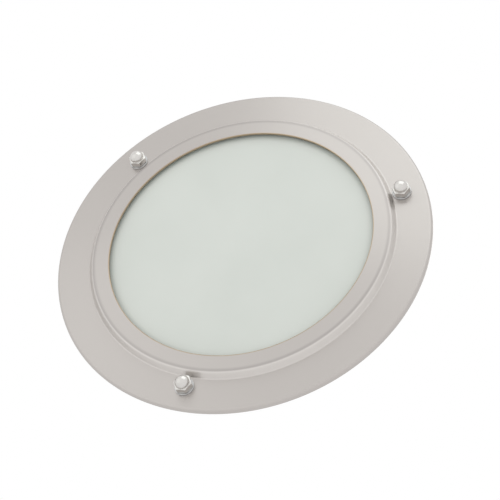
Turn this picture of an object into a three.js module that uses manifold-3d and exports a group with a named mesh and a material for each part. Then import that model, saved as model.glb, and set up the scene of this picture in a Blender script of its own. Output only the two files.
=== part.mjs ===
// Recessed soffit downlight with a pressed steel trim ring, three cap nuts and a satin glass.
// Lengths are in millimetres. Z is up, the soffit's face is the plane Z = 0 and the light looks down.
// Everything below the soffit has a negative Z, and the can stands above it in the ceiling void.

import * as THREE from "three";
import { mergeVertices } from "three/addons/utils/BufferGeometryUtils.js";
import Module from "manifold-3d";

const wasm = await Module();
wasm.setup();

// Running clearances
const seatGap = 0.3;
const flatGap = 0.05;
const overrun = 2;
const weldTolerance = 0.0001;

// Trim ring, pressed from one sheet of stainless steel
const trimRadius = 120;
const trimSheet = 1.5;
const lipDepth = 2.5;
const lipBend = 2;
const flangeWidth = 21.8;
const stepSlope = 2.8;
const bezelWidth = 11.2;
const bezelRise = 4.2;
const footBend = 1.2;
const shoulderBend = 2.2;
const nutInset = 6.6;
const studHoleRadius = 3.5;

// Stack between the soffit and the trim ring
const soffitGasketThickness = 2;
const housingFlangeThickness = 3;
const trimSealThickness = 2;
const flangeSetback = 2.5;

// Glass and its gasket
const glassThickness = 5;
const glassSetback = 3.3;
const glassChamfer = 0.6;
const gasketRoom = 1.3;
const gasketWall = 2;
const gasketBackLimb = 1.2;
const gasketSetback = 2.5;

// Clips that hold the glass in the trim ring
const clipSheet = 0.8;
const clipWidth = 12;
const clipFoot = 8;
const clipTab = 7;
const clipStandoff = 2;
const rebateClearance = 0.6;

// Cast can
const canWall = 3;
const rebateWall = 2.5;
const shelfWidth = 10.5;
const ledgeWidth = 3;
const shoulderWidth = 12;
const shoulderRise = 8;
const castEdge = 1.2;
const finCount = 24;
const finThickness = 2.2;
const finHeight = 10;
const finInnerRadius = 26;
const finProud = 1.5;
const finRoot = 1;

// Fixings through the housing flange
const fixingSlotWidth = 5;
const fixingSlotLength = 10;
const fixingInset = 5;
const trimSealWidth = 4;
const trimSealInset = 2.5;

// Studs, washers and cap nuts, M6
const studRadius = 3;
const studHeadRadius = 4.5;
const studHeadThickness = 1;
const studEngagement = 5.4;
const studEndChamfer = 0.6;
const washerRadius = 6;
const washerThickness = 1;
const nutFlats = 10;
const nutHexHeight = 4.2;
const nutHeight = 8;
const nutDomeRadius = 4.4;
const nutEdge = 0.5;
const nutEndRoom = 0.6;
const nutTwist = Math.PI / 30;

// Reflector, gear plate and light board
const reflectorDepth = 22;
const reflectorSheet = 1;
const reflectorBase = 11;
const reflectorRim = 1.6;
const plateThickness = 2;
const boardShare = 0.5;
const boardThickness = 1.6;
const ledSize = 3.2;
const ledHeight = 0.9;
const ledRings = [{ share: 0.24, count: 4 }, { share: 0.61, count: 10 }];
const plugLength = 7;
const plugWidth = 6;
const plugHeight = 3;

// Driver and terminal block on the back of the gear plate
const driverLengthShare = 1.024;
const driverWidthShare = 0.488;
const driverHeight = 18;
const driverEdge = 2.5;
const driverEarLength = 8;
const driverEarWidth = 20;
const driverEarThickness = 3;
const driverWallGap = 5;
const driverHeadroom = 1.5;
const terminalPitch = 10;
const terminalWays = 3;
const terminalDepth = 16;
const terminalHeight = 13;
const terminalBore = 1.9;
const terminalWell = 2.3;
const terminalShare = 0.17;
const terminalWireHeight = 6;

// Small screws, each with a pan head
const smallScrew = { shank: 1.5, head: 2.8, headHeight: 1.9 };
const plateScrew = { shank: 2, head: 3.8, headHeight: 2.6 };
const bossRadius = 5;
const bossInset = 3.5;
const screwHoleDepth = 9;
const plateScrewLength = 8;
const smallScrewMargin = 1.5;
const screwCrownShare = 1 / 3;

// Leads inside the can
const mainsLeadRadius = 1.2;
const lightLeadRadius = 0.8;
const lightLeadSpacing = 2.1;
const lightLeadBend = 3.2;
const leadInsertion = 4;
const mainsEntryShares = { live: 0.36, neutral: 0.24 };
const lightEntryShare = 0.25;
const grommetBore = 2.5;
const grommetNeck = 3.2;
const grommetFlange = 4.3;
const grommetLip = 1;
const eyeletRadius = 4;
const eyeletThickness = 0.8;
const earthScrewShares = { x: 0.415, y: -0.05 };

// Cable gland, M20
const glandThread = 10;
const glandFlats = 24;
const glandHexHeight = 6;
const glandPadRadius = 16;
const glandPadHeight = 2;
const glandEdge = 5;
const glandWasherThickness = 1.5;
const glandSeatBore = 5.6;
const glandBore = 8.2;
const glandCollarRadius = 10.2;
const glandCollarHeight = 8;
const glandSealBore = 4.9;
const glandSealHeight = 12;
const glandSealTop = 6.6;
const glandCapRadius = 13.2;
const glandCapHeight = 15;
const glandCapTop = 3;
const glandCapBore = 5.8;
const glandCapRibs = 8;
const glandRibDepth = 1.2;
const glandRibWidth = 2.2;
const lockNutThickness = 4;
const stubEnd = 2;

// Facets round each turned piece
const trimFacets = 60;
const ringFacets = 44;
const looseFacets = 28;
const padFacets = 24;
const smallFacets = 16;
const slotFacets = 8;
const screwFacets = 6;
const hexSides = 6;
const leadSides = 6;
const mainsLeadSteps = 10;
const lightLeadSteps = 16;
const domeSteps = 4;

// Levels, from the soffit downwards
const flangeBackZ = -soffitGasketThickness;
const flangeFrontZ = flangeBackZ - housingFlangeThickness;
const trimBackZ = flangeFrontZ - trimSealThickness;
const trimFrontZ = trimBackZ - trimSheet;
const bezelFrontZ = trimFrontZ - bezelRise;
const bezelBackZ = bezelFrontZ + trimSheet;
const glassFrontZ = bezelFrontZ + glassSetback;
const glassBackZ = glassFrontZ + glassThickness;
const gasketBackZ = glassBackZ + seatGap + gasketBackLimb;
const clipTabZ = gasketBackZ + flatGap;
const shelfZ = clipTabZ + clipSheet + rebateClearance;

// Levels, from the shelf upwards
const shelfTopZ = shelfZ + canWall;
const reflectorFrontZ = shelfZ + rebateClearance;
const reflectorBackZ = reflectorFrontZ + reflectorDepth;
const plateZ = reflectorBackZ + flatGap;
const plateTopZ = plateZ + plateThickness;
const ledgeZ = plateTopZ + flatGap;
const shoulderZ = plateTopZ + driverHeight + driverHeadroom;
const topZ = shoulderZ + shoulderRise;
const topInnerZ = topZ - canWall;
const padTopZ = topZ + glandPadHeight;
const finTopZ = topZ + finHeight;
const glandHexZ = padTopZ + glandWasherThickness + flatGap;
const glandCollarZ = glandHexZ + glandHexHeight;
const glandCollarTopZ = glandCollarZ + glandCollarHeight;
const glandSeatZ = glandCollarZ - glandHexHeight / 3;
const lockNutTopZ = topInnerZ - flatGap;
const lockNutZ = lockNutTopZ - lockNutThickness;

// Radii, from the trim ring inwards
const footRadius = trimRadius - flangeWidth;
const shoulderRadius = footRadius - stepSlope;
const apertureRadius = shoulderRadius - bezelWidth;
const nutCircle = footRadius + nutInset;
const lensGasketRadius = shoulderRadius - trimSheet - gasketRoom;
const glassRadius = lensGasketRadius - gasketWall - seatGap;
const clipRiserRadius = lensGasketRadius + clipStandoff;
const rebateRadius = clipRiserRadius + clipSheet + rebateClearance;
const spigotRadius = rebateRadius + rebateWall;
const housingFlangeRadius = trimRadius - trimSheet - flangeSetback;
const canRadius = spigotRadius - shelfWidth;
const lowerBore = canRadius - canWall;
const upperRadius = canRadius - ledgeWidth;
const upperBore = lowerBore - ledgeWidth;
const topRadius = upperRadius - shoulderWidth;
const bossCircle = upperBore - bossInset;
const boardRadius = upperBore * boardShare;
const boardScrewCircle = boardRadius - smallScrew.head - smallScrewMargin;
const grommetRadius = boardRadius + grommetFlange + seatGap;
const reflectorBore = grommetRadius + grommetFlange + seatGap;
const reflectorBaseRadius = reflectorBore + reflectorBase;
const reflectorScrewCircle = reflectorBore + reflectorBase / 2;
const glandRadius = topRadius - glandPadRadius - glandEdge;

// Places of the gear on its plate
const driverLength = upperBore * driverLengthShare;
const driverWidth = upperBore * driverWidthShare;
const driverReach = upperBore - driverWallGap;
const driverY = Math.sqrt(driverReach ** 2 - (driverLength / 2) ** 2) - driverWidth / 2;
const terminalY = -upperBore * terminalShare;
const earthScrewX = upperBore * earthScrewShares.x;
const earthScrewY = upperBore * earthScrewShares.y;

// Places round the axis
const letters = ["a", "b", "c"];
const thirds = letters.map((letter, index) => index * 2 * Math.PI / letters.length);
const halfThird = Math.PI / letters.length;
const betweenAngles = thirds.map((angle) => angle + halfThird);
const bossAngles = thirds.map((angle) => angle + Math.PI / 2);

// Materials as plain colour, roughness and metalness
const finish = {
  brushedSteel: { color: 0xc8c3bf, roughness: 0.42, metalness: 1 },
  polishedSteel: { color: 0xd8d6d2, roughness: 0.14, metalness: 1 },
  zincSteel: { color: 0xb9bcc0, roughness: 0.35, metalness: 1 },
  castAluminium: { color: 0x9fa2a3, roughness: 0.6, metalness: 0.85 },
  satinGlass: { color: 0xd7dcd6, roughness: 0.5, metalness: 0 },
  greySilicone: { color: 0x6f736f, roughness: 0.7, metalness: 0 },
  blackRubber: { color: 0x26282a, roughness: 0.8, metalness: 0 },
  blackNylon: { color: 0x1d1f21, roughness: 0.5, metalness: 0 },
  whitePaint: { color: 0xeeeeea, roughness: 0.45, metalness: 0 },
  whiteBoard: { color: 0xe9ebe6, roughness: 0.5, metalness: 0 },
  whiteNylon: { color: 0xe2e0d8, roughness: 0.5, metalness: 0 },
  brownLead: { color: 0x6b4127, roughness: 0.5, metalness: 0 },
  blueLead: { color: 0x2f5f9e, roughness: 0.5, metalness: 0 },
  greenLead: { color: 0x4c8a3a, roughness: 0.5, metalness: 0 },
  redLead: { color: 0xa5302a, roughness: 0.5, metalness: 0 },
  blackLead: { color: 0x202124, roughness: 0.5, metalness: 0 },
};

const downlight = new THREE.Group();

function add(name, geometry, look) {
  const material = new THREE.MeshStandardMaterial(look);
  const mesh = new THREE.Mesh(geometry, material);
  mesh.name = name;
  downlight.add(mesh);
  return mesh;
}

// Solids are joined and cut as closed meshes with their corners merged
function toSolid(geometry) {
  const bare = geometry.clone();
  bare.deleteAttribute("normal");
  bare.deleteAttribute("uv");
  const merged = mergeVertices(bare, weldTolerance);
  const corners = Array.from(merged.index.array);
  const kept = [];
  for (let i = 0; i < corners.length; i += 3) {
    const [a, b, c] = corners.slice(i, i + 3);
    if (a !== b && b !== c && c !== a) {
      kept.push(a, b, c);
    }
  }
  const vertProperties = new Float32Array(merged.attributes.position.array);
  const triVerts = new Uint32Array(kept);
  return new wasm.Manifold(new wasm.Mesh({ numProp: 3, vertProperties, triVerts }));
}

function toGeometry(solid) {
  const mesh = solid.getMesh();
  const geometry = new THREE.BufferGeometry();
  geometry.setAttribute("position", new THREE.BufferAttribute(mesh.vertProperties, 3));
  geometry.setIndex(new THREE.BufferAttribute(mesh.triVerts, 1));
  geometry.computeVertexNormals();
  return geometry;
}

// A profile is a list of [radius, height] points, turned once round Z
function turned(profile, facets) {
  const closed = profile[0][0] === 0 ? profile : [...profile, profile[0]];
  let area = 0;
  closed.forEach(([r, z], index) => {
    const [nextR, nextZ] = closed[(index + 1) % closed.length];
    area += r * nextZ - nextR * z;
  });
  const ordered = area > 0 ? closed : [...closed].reverse();
  const points = ordered.map(([r, z]) => new THREE.Vector2(r, z));
  return new THREE.LatheGeometry(points, facets).rotateX(Math.PI / 2);
}

function ring(innerRadius, outerRadius, lowZ, highZ, facets) {
  const profile = [[innerRadius, lowZ], [outerRadius, lowZ], [outerRadius, highZ], [innerRadius, highZ]];
  return turned(profile, facets);
}

function disc(radius, lowZ, highZ, facets) {
  return turned([[0, lowZ], [radius, lowZ], [radius, highZ], [0, highZ]], facets);
}

function moved(geometry, x, y, z) {
  return geometry.clone().translate(x, y, z);
}

function around(geometry, radius, angle) {
  return geometry.clone().translate(radius, 0, 0).rotateZ(angle);
}

function allRound(geometry, radius, angles) {
  return angles.map((angle) => toSolid(around(geometry, radius, angle)));
}

function joined(first, others) {
  return others.reduce((whole, other) => whole.add(other), first);
}

function cut(first, others) {
  return others.reduce((rest, other) => rest.subtract(other), first);
}

function flatShape(points) {
  return new THREE.Shape(points.map(([x, y]) => new THREE.Vector2(x, y)));
}

// A side outline given in radius and height, made a plate of some thickness across the radius
function radialPlate(outline, thickness) {
  const settings = { depth: thickness, bevelEnabled: false };
  const plate = new THREE.ExtrudeGeometry(flatShape(outline), settings);
  return plate.translate(0, 0, -thickness / 2).rotateX(Math.PI / 2);
}

function block(length, width, height, centreX, centreY, lowZ) {
  return new THREE.BoxGeometry(length, width, height).translate(centreX, centreY, lowZ + height / 2);
}

function hexagon(acrossFlats, lowZ, highZ) {
  const cornerRadius = acrossFlats / 2 / Math.cos(Math.PI / hexSides);
  const prism = new THREE.CylinderGeometry(cornerRadius, cornerRadius, highZ - lowZ, hexSides);
  return prism.rotateX(Math.PI / 2).translate(0, 0, (lowZ + highZ) / 2);
}

// A sheet follows a path of corners, each rounded on the path's side by its own bend in so many steps
function bentPath(corners, bends) {
  const path = corners.map(([r, z]) => new THREE.Vector2(r, z));
  const stations = [];
  const sideOf = (direction) => new THREE.Vector2(-direction.y, direction.x);
  path.forEach((corner, index) => {
    const before = index > 0 ? corner.clone().sub(path[index - 1]).normalize() : null;
    const after = index < path.length - 1 ? path[index + 1].clone().sub(corner).normalize() : null;
    if (!before || !after) {
      stations.push({ point: corner, side: sideOf(before || after) });
      return;
    }
    const { radius, steps } = bends[index];
    const turn = Math.atan2(before.cross(after), before.dot(after));
    const reach = radius * Math.tan(Math.abs(turn) / 2);
    const start = corner.clone().addScaledVector(before, -reach);
    const centre = start.clone().addScaledVector(sideOf(before), radius * Math.sign(turn));
    for (let step = 0; step <= steps; step += 1) {
      const angle = turn * step / steps;
      const point = start.clone().rotateAround(centre, angle);
      const side = sideOf(before).rotateAround(new THREE.Vector2(), angle);
      stations.push({ point, side });
    }
  });
  return stations;
}

function sheetProfile(corners, bends, sheet) {
  const stations = bentPath(corners, bends);
  const face = stations.map(({ point }) => [point.x, point.y]);
  const back = stations.map(({ point, side }) => [point.x + side.x * sheet, point.y + side.y * sheet]);
  return [...face, ...back.reverse()];
}

// A pan head screw whose head rests under Z = 0 and whose shank points up
function screwGeometry(size, length) {
  const crown = size.headHeight * screwCrownShare;
  return turned([
    [0, -size.headHeight],
    [size.head - crown, -size.headHeight],
    [size.head, 0],
    [size.shank, 0],
    [size.shank, length],
    [0, length],
  ], screwFacets);
}

function polar(radius, angle) {
  return [radius * Math.cos(angle), radius * Math.sin(angle)];
}

function leadGeometry(curve, radius, steps) {
  const corners = Array.from({ length: leadSides }, (unused, index) => {
    return polar(radius, index * 2 * Math.PI / leadSides);
  });
  const settings = { steps, extrudePath: curve, bevelEnabled: false };
  return new THREE.ExtrudeGeometry(flatShape(corners), settings);
}

// Trim ring: turned back lip, flat flange with three stud holes, step and flat bezel
function makeTrimRing() {
  const corners = [
    [apertureRadius, bezelFrontZ],
    [shoulderRadius, bezelFrontZ],
    [footRadius, trimFrontZ],
    [trimRadius, trimFrontZ],
    [trimRadius, trimFrontZ + lipDepth],
  ];
  const bends = [
    null,
    { radius: shoulderBend, steps: 2 },
    { radius: footBend, steps: 1 },
    { radius: lipBend, steps: 2 },
    null,
  ];
  const profile = sheetProfile(corners, bends, trimSheet);
  const sheet = toSolid(turned(profile, trimFacets));
  const hole = disc(studHoleRadius, trimFrontZ - overrun, trimBackZ + overrun, smallFacets);
  add("trim_ring", toGeometry(cut(sheet, allRound(hole, nutCircle, thirds))), finish.brushedSteel);
}

// Glass: a flat disc with ground edges
function makeGlass() {
  add("glass", turned([
    [0, glassFrontZ],
    [glassRadius - glassChamfer, glassFrontZ],
    [glassRadius, glassFrontZ + glassChamfer],
    [glassRadius, glassBackZ - glassChamfer],
    [glassRadius - glassChamfer, glassBackZ],
    [0, glassBackZ],
  ], looseFacets), finish.satinGlass);
}

// Gasket: a U section that wraps the rim of the glass
function makeGlassGasket() {
  const innerRadius = apertureRadius + gasketSetback;
  const grooveRadius = glassRadius + seatGap;
  add("glass_gasket", turned([
    [innerRadius, bezelBackZ + flatGap],
    [lensGasketRadius, bezelBackZ + flatGap],
    [lensGasketRadius, gasketBackZ],
    [innerRadius, gasketBackZ],
    [innerRadius, glassBackZ + seatGap],
    [grooveRadius, glassBackZ + seatGap],
    [grooveRadius, glassFrontZ - seatGap],
    [innerRadius, glassFrontZ - seatGap],
  ], looseFacets), finish.greySilicone);
}

// Clips: bent straps welded behind the flange, each with a tab over the gasket
function makeGlassClips() {
  const footZ = trimBackZ + flatGap;
  const outerRadius = clipRiserRadius + clipSheet;
  const outline = [
    [outerRadius + clipFoot, footZ],
    [outerRadius + clipFoot, footZ + clipSheet],
    [outerRadius, footZ + clipSheet],
    [outerRadius, clipTabZ + clipSheet],
    [clipRiserRadius - clipTab, clipTabZ + clipSheet],
    [clipRiserRadius - clipTab, clipTabZ],
    [clipRiserRadius, clipTabZ],
    [clipRiserRadius, footZ],
  ];
  const strap = radialPlate(outline, clipWidth);
  letters.forEach((letter, index) => {
    add(`glass_clip_${letter}`, around(strap, 0, betweenAngles[index]), finish.zincSteel);
  });
}

// Fixing slots for the screws that hold the housing to the soffit
function fixingSlots(lowZ, highZ) {
  const slotRadius = fixingSlotWidth / 2;
  const reach = fixingSlotLength / 2 - slotRadius;
  const end = disc(slotRadius, lowZ, highZ, slotFacets);
  const middle = block(fixingSlotWidth, 2 * reach, highZ - lowZ, 0, 0, lowZ);
  const pieces = [moved(end, 0, reach, 0), moved(end, 0, -reach, 0)].map(toSolid);
  const slot = toGeometry(joined(toSolid(middle), pieces));
  return allRound(slot, spigotRadius + fixingInset, betweenAngles);
}

function makeSoffitGasket() {
  const innerRadius = spigotRadius + seatGap;
  const outerRadius = housingFlangeRadius - flangeSetback;
  const foam = toSolid(ring(innerRadius, outerRadius, flangeBackZ + flatGap, 0, ringFacets));
  const slots = fixingSlots(flangeBackZ - overrun, overrun);
  add("soffit_gasket", toGeometry(cut(foam, slots)), finish.blackRubber);
}

function makeTrimSeal() {
  const outerRadius = housingFlangeRadius - trimSealInset;
  const innerRadius = outerRadius - trimSealWidth;
  const band = ring(innerRadius, outerRadius, trimBackZ + flatGap, flangeFrontZ - flatGap, looseFacets);
  add("trim_seal", band, finish.blackRubber);
}

// Can: one casting with a flange, a rebate for the glass, a stepped wall and cooling fins
function canOutside() {
  return turned([
    [0, flangeFrontZ],
    [housingFlangeRadius - castEdge, flangeFrontZ],
    [housingFlangeRadius, flangeFrontZ + castEdge],
    [housingFlangeRadius, flangeBackZ],
    [spigotRadius, flangeBackZ],
    [spigotRadius, shelfTopZ - castEdge],
    [spigotRadius - castEdge, shelfTopZ],
    [canRadius, shelfTopZ],
    [canRadius, ledgeZ],
    [upperRadius, ledgeZ + ledgeWidth],
    [upperRadius, shoulderZ],
    [topRadius + castEdge, topZ - castEdge / 2],
    [topRadius - castEdge, topZ],
    [0, topZ],
  ], ringFacets);
}

function canInside() {
  return turned([
    [0, flangeFrontZ - overrun],
    [rebateRadius, flangeFrontZ - overrun],
    [rebateRadius, shelfZ],
    [lowerBore, shelfZ],
    [lowerBore, ledgeZ],
    [upperBore, ledgeZ],
    [upperBore, shoulderZ - canWall / 2],
    [topRadius - canWall / 2, topInnerZ],
    [0, topInnerZ],
  ], ringFacets);
}

function finSolids() {
  const outerRadius = upperRadius + finProud;
  const outline = [
    [finInnerRadius, topZ - finRoot],
    [topRadius - finRoot, topZ - finRoot],
    [upperRadius - finRoot, shoulderZ],
    [upperRadius - finRoot, ledgeZ + ledgeWidth],
    [outerRadius, ledgeZ + ledgeWidth - finProud],
    [outerRadius, shoulderZ],
    [topRadius, finTopZ],
    [finInnerRadius + finRoot, finTopZ],
  ];
  const fin = radialPlate(outline, finThickness);
  const pitch = 2 * Math.PI / finCount;
  const glandSector = Math.asin((glandPadRadius + finThickness) / glandRadius);
  const angles = Array.from({ length: finCount }, (unused, index) => (index + 0.5) * pitch);
  const fromGland = (angle) => Math.abs(angle - 1.5 * Math.PI);
  return allRound(fin, 0, angles.filter((angle) => fromGland(angle) > glandSector));
}

function canCuts() {
  const gland = disc(glandThread + seatGap, topInnerZ - overrun, padTopZ + overrun, padFacets);
  const screwBore = plateScrew.shank + seatGap;
  const screwHole = disc(screwBore, ledgeZ - overrun, ledgeZ + screwHoleDepth, screwFacets);
  const studBore = studRadius + seatGap;
  const studHole = disc(studBore, flangeFrontZ - overrun, flangeBackZ + overrun, smallFacets);
  const headZ = flangeBackZ - studHeadThickness - flatGap;
  const studRecess = disc(studHeadRadius + seatGap, headZ, flangeBackZ + overrun, smallFacets);
  return [
    toSolid(moved(gland, 0, -glandRadius, 0)),
    ...allRound(screwHole, bossCircle, bossAngles),
    ...allRound(studHole, nutCircle, thirds),
    ...allRound(studRecess, nutCircle, thirds),
    ...fixingSlots(flangeFrontZ - overrun, flangeBackZ + overrun),
  ];
}

function makeCan() {
  const outside = toSolid(canOutside());
  const walls = outside.subtract(toSolid(canInside()));
  const boss = disc(bossRadius, ledgeZ, topZ, smallFacets);
  const bosses = allRound(boss, bossCircle, bossAngles).map((solid) => solid.intersect(outside));
  const pad = disc(glandPadRadius, topZ - finRoot, padTopZ, padFacets);
  const extras = [...bosses, toSolid(moved(pad, 0, -glandRadius, 0)), ...finSolids()];
  const casting = cut(joined(walls, extras), canCuts());
  add("housing_can", toGeometry(casting), finish.castAluminium);
}

// Studs: flat heads let into the back of the flange, shanks down through the trim ring
function makeStuds() {
  const headTopZ = flangeBackZ - flatGap;
  const headZ = headTopZ - studHeadThickness;
  const endZ = trimFrontZ - washerThickness - studEngagement;
  const stud = turned([
    [0, endZ],
    [studRadius - studEndChamfer, endZ],
    [studRadius, endZ + studEndChamfer],
    [studRadius, headZ],
    [studHeadRadius, headZ],
    [studHeadRadius, headTopZ],
    [0, headTopZ],
  ], smallFacets);
  letters.forEach((letter, index) => {
    add(`stud_${letter}`, around(stud, nutCircle, thirds[index]), finish.zincSteel);
  });
}

// Cap nuts: a hexagon chamfered at both ends, a dome, and a blind bore for the stud
function capNutGeometry() {
  const cornerRadius = nutFlats / 2 / Math.cos(Math.PI / hexSides);
  const blank = turned([
    [0, 0],
    [cornerRadius - 2 * nutEdge, 0],
    [cornerRadius, nutEdge],
    [cornerRadius, nutHexHeight - nutEdge],
    [cornerRadius - 2 * nutEdge, nutHexHeight],
    [0, nutHexHeight],
  ], smallFacets);
  const domeRise = nutHeight - nutHexHeight;
  const dome = [[0, nutHexHeight - nutEdge], [nutDomeRadius, nutHexHeight - nutEdge]];
  for (let step = 0; step < domeSteps; step += 1) {
    const angle = step * Math.PI / 2 / domeSteps;
    dome.push([nutDomeRadius * Math.cos(angle), nutHexHeight + domeRise * Math.sin(angle)]);
  }
  dome.push([0, nutHeight]);
  const prism = toSolid(hexagon(nutFlats, -overrun, nutHexHeight + overrun));
  const whole = prism.intersect(toSolid(blank)).add(toSolid(turned(dome, smallFacets)));
  const bore = disc(studRadius + seatGap, -overrun, studEngagement + nutEndRoom, smallFacets);
  return toGeometry(whole.subtract(toSolid(bore)));
}

function makeNuts() {
  const washer = ring(studRadius + seatGap, washerRadius, -washerThickness, -flatGap, smallFacets);
  const nut = capNutGeometry();
  letters.forEach((letter, index) => {
    const [x, y] = polar(nutCircle, thirds[index]);
    add(`nut_washer_${letter}`, washer, finish.zincSteel).position.set(x, y, trimFrontZ);
    const capNut = add(`cap_nut_${letter}`, nut, finish.polishedSteel);
    capNut.position.set(x, y, trimFrontZ - washerThickness - flatGap);
    capNut.rotation.set(Math.PI, 0, nutTwist);
  });
}

// A hole through a sheet at some height for a small screw
function smallScrewHole(z) {
  return disc(smallScrew.shank + seatGap, z - overrun, z + overrun, screwFacets);
}

// Reflector: a spun white bowl from the glass up to the light board
function makeReflector() {
  const corners = [
    [reflectorBore, reflectorBackZ - reflectorSheet],
    [reflectorBaseRadius, reflectorBackZ - reflectorSheet],
    [lowerBore - seatGap - reflectorRim, reflectorFrontZ],
    [lowerBore - seatGap, reflectorFrontZ],
  ];
  const bends = [
    null,
    { radius: reflectorSheet, steps: 1 },
    { radius: 2 * reflectorSheet, steps: 1 },
    null,
  ];
  const bowl = toSolid(turned(sheetProfile(corners, bends, reflectorSheet), looseFacets));
  const holes = allRound(smallScrewHole(reflectorBackZ), reflectorScrewCircle, thirds);
  add("reflector", toGeometry(cut(bowl, holes)), finish.whitePaint);
}

// Gear plate: a round plate with a hole for every screw and one for the light leads
function makeGearPlate() {
  const plate = toSolid(disc(lowerBore - seatGap, plateZ, plateTopZ, ringFacets));
  const round = (radius, facets) => disc(radius, plateZ - overrun, plateTopZ + overrun, facets);
  const smallHole = smallScrewHole(plateTopZ);
  const plateHole = round(plateScrew.shank + seatGap, screwFacets);
  const grommetHole = round(grommetNeck + seatGap, smallFacets);
  const loose = [...driverScrewPlaces(), ...terminalScrewPlaces(), [earthScrewX, earthScrewY]];
  add("gear_plate", toGeometry(cut(plate, [
    ...allRound(plateHole, bossCircle, bossAngles),
    ...allRound(smallHole, boardScrewCircle, betweenAngles),
    ...allRound(smallHole, reflectorScrewCircle, thirds),
    ...loose.map(([x, y]) => toSolid(moved(smallHole, x, y, 0))),
    toSolid(moved(grommetHole, grommetRadius, 0, 0)),
  ])), finish.zincSteel);
}

// Light board: an aluminium board with its lamps and its plug soldered on
function makeBoard() {
  const faceZ = plateZ - flatGap - boardThickness;
  const board = toSolid(disc(boardRadius, faceZ, plateZ - flatGap, looseFacets));
  const lamp = block(ledSize, ledSize, 2 * ledHeight, 0, 0, faceZ - ledHeight);
  const lamps = ledRings.flatMap(({ share, count }) => {
    const pitch = 2 * Math.PI / count;
    const angles = Array.from({ length: count }, (unused, index) => (index + 0.5) * pitch);
    return allRound(lamp, boardRadius * share, angles);
  });
  const plugX = boardRadius - plugLength / 2 - flatGap;
  const plug = block(plugLength, plugWidth, plugHeight + ledHeight, plugX, 0, faceZ - plugHeight);
  const whole = joined(board, [...lamps, toSolid(plug)]);
  const holes = allRound(smallScrewHole(faceZ), boardScrewCircle, betweenAngles);
  add("light_board", toGeometry(cut(whole, holes)), finish.whiteBoard);
}

// Driver: a chamfered case with an ear at each end
function driverScrewPlaces() {
  const reach = driverLength / 2 + driverEarLength / 2;
  return [[-reach, driverY], [reach, driverY]];
}

function makeDriver() {
  const half = driverWidth / 2;
  const section = flatShape([
    [-half, 0],
    [half, 0],
    [half, driverHeight - driverEdge],
    [half - driverEdge, driverHeight],
    [driverEdge - half, driverHeight],
    [-half, driverHeight - driverEdge],
  ]);
  const body = new THREE.ExtrudeGeometry(section, { depth: driverLength, bevelEnabled: false });
  body.translate(0, 0, -driverLength / 2).rotateX(Math.PI / 2).rotateZ(Math.PI / 2);
  const lowZ = plateTopZ + flatGap;
  const spread = driverLength + 2 * driverEarLength;
  const ears = block(spread, driverEarWidth, driverEarThickness, 0, driverY, lowZ);
  const hole = smallScrewHole(lowZ + driverEarThickness / 2);
  const holes = driverScrewPlaces().map(([x, y]) => toSolid(moved(hole, x, y, 0)));
  const whole = toSolid(moved(body, 0, driverY, lowZ)).add(toSolid(ears));
  add("driver_case", toGeometry(cut(whole, holes)), finish.whiteNylon);
}

// Terminal block: three ways, each with a wire bore and a screw well
function terminalPlaces() {
  const first = -(terminalWays - 1) / 2;
  return Array.from({ length: terminalWays }, (unused, index) => (first + index) * terminalPitch);
}

function terminalScrewPlaces() {
  return [[-terminalPitch / 2, terminalY], [terminalPitch / 2, terminalY]];
}

function terminalFootHeight() {
  return terminalWireHeight - terminalBore - seatGap;
}

function makeTerminalBlock() {
  const lowZ = plateTopZ + flatGap;
  const highZ = lowZ + terminalHeight + overrun;
  const footHeight = terminalFootHeight();
  const towerWidth = terminalPitch - 2 * (smallScrew.head - smallScrew.shank);
  const foot = block(terminalWays * terminalPitch, terminalDepth, footHeight, 0, terminalY, lowZ);
  const tower = block(towerWidth, terminalDepth, terminalHeight, 0, terminalY, lowZ);
  const wireZ = lowZ + terminalWireHeight;
  const boreLength = terminalDepth + overrun;
  const bore = new THREE.CylinderGeometry(terminalBore, terminalBore, boreLength, screwFacets);
  bore.translate(0, terminalY, wireZ);
  const well = moved(disc(terminalWell, wireZ, highZ, screwFacets), 0, terminalY, 0);
  const places = terminalPlaces();
  const spread = (geometry) => places.map((x) => toSolid(moved(geometry, x, 0, 0)));
  const shankHole = smallScrewHole(lowZ + footHeight / 2);
  const headHole = disc(smallScrew.head + seatGap, lowZ + footHeight, highZ, smallFacets);
  const holes = terminalScrewPlaces().flatMap(([x, y]) => {
    return [shankHole, headHole].map((geometry) => toSolid(moved(geometry, x, y, 0)));
  });
  const whole = joined(toSolid(foot), spread(tower));
  const cuts = [...spread(bore), ...spread(well), ...holes];
  add("terminal_block", toGeometry(cut(whole, cuts)), finish.whiteNylon);
}

// Screws of the gear
function addScrew(name, size, length, [x, y], seatZ, headUp) {
  const screw = add(name, screwGeometry(size, length), finish.zincSteel);
  screw.position.set(x, y, seatZ);
  screw.rotation.x = headUp ? Math.PI : 0;
}

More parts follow.
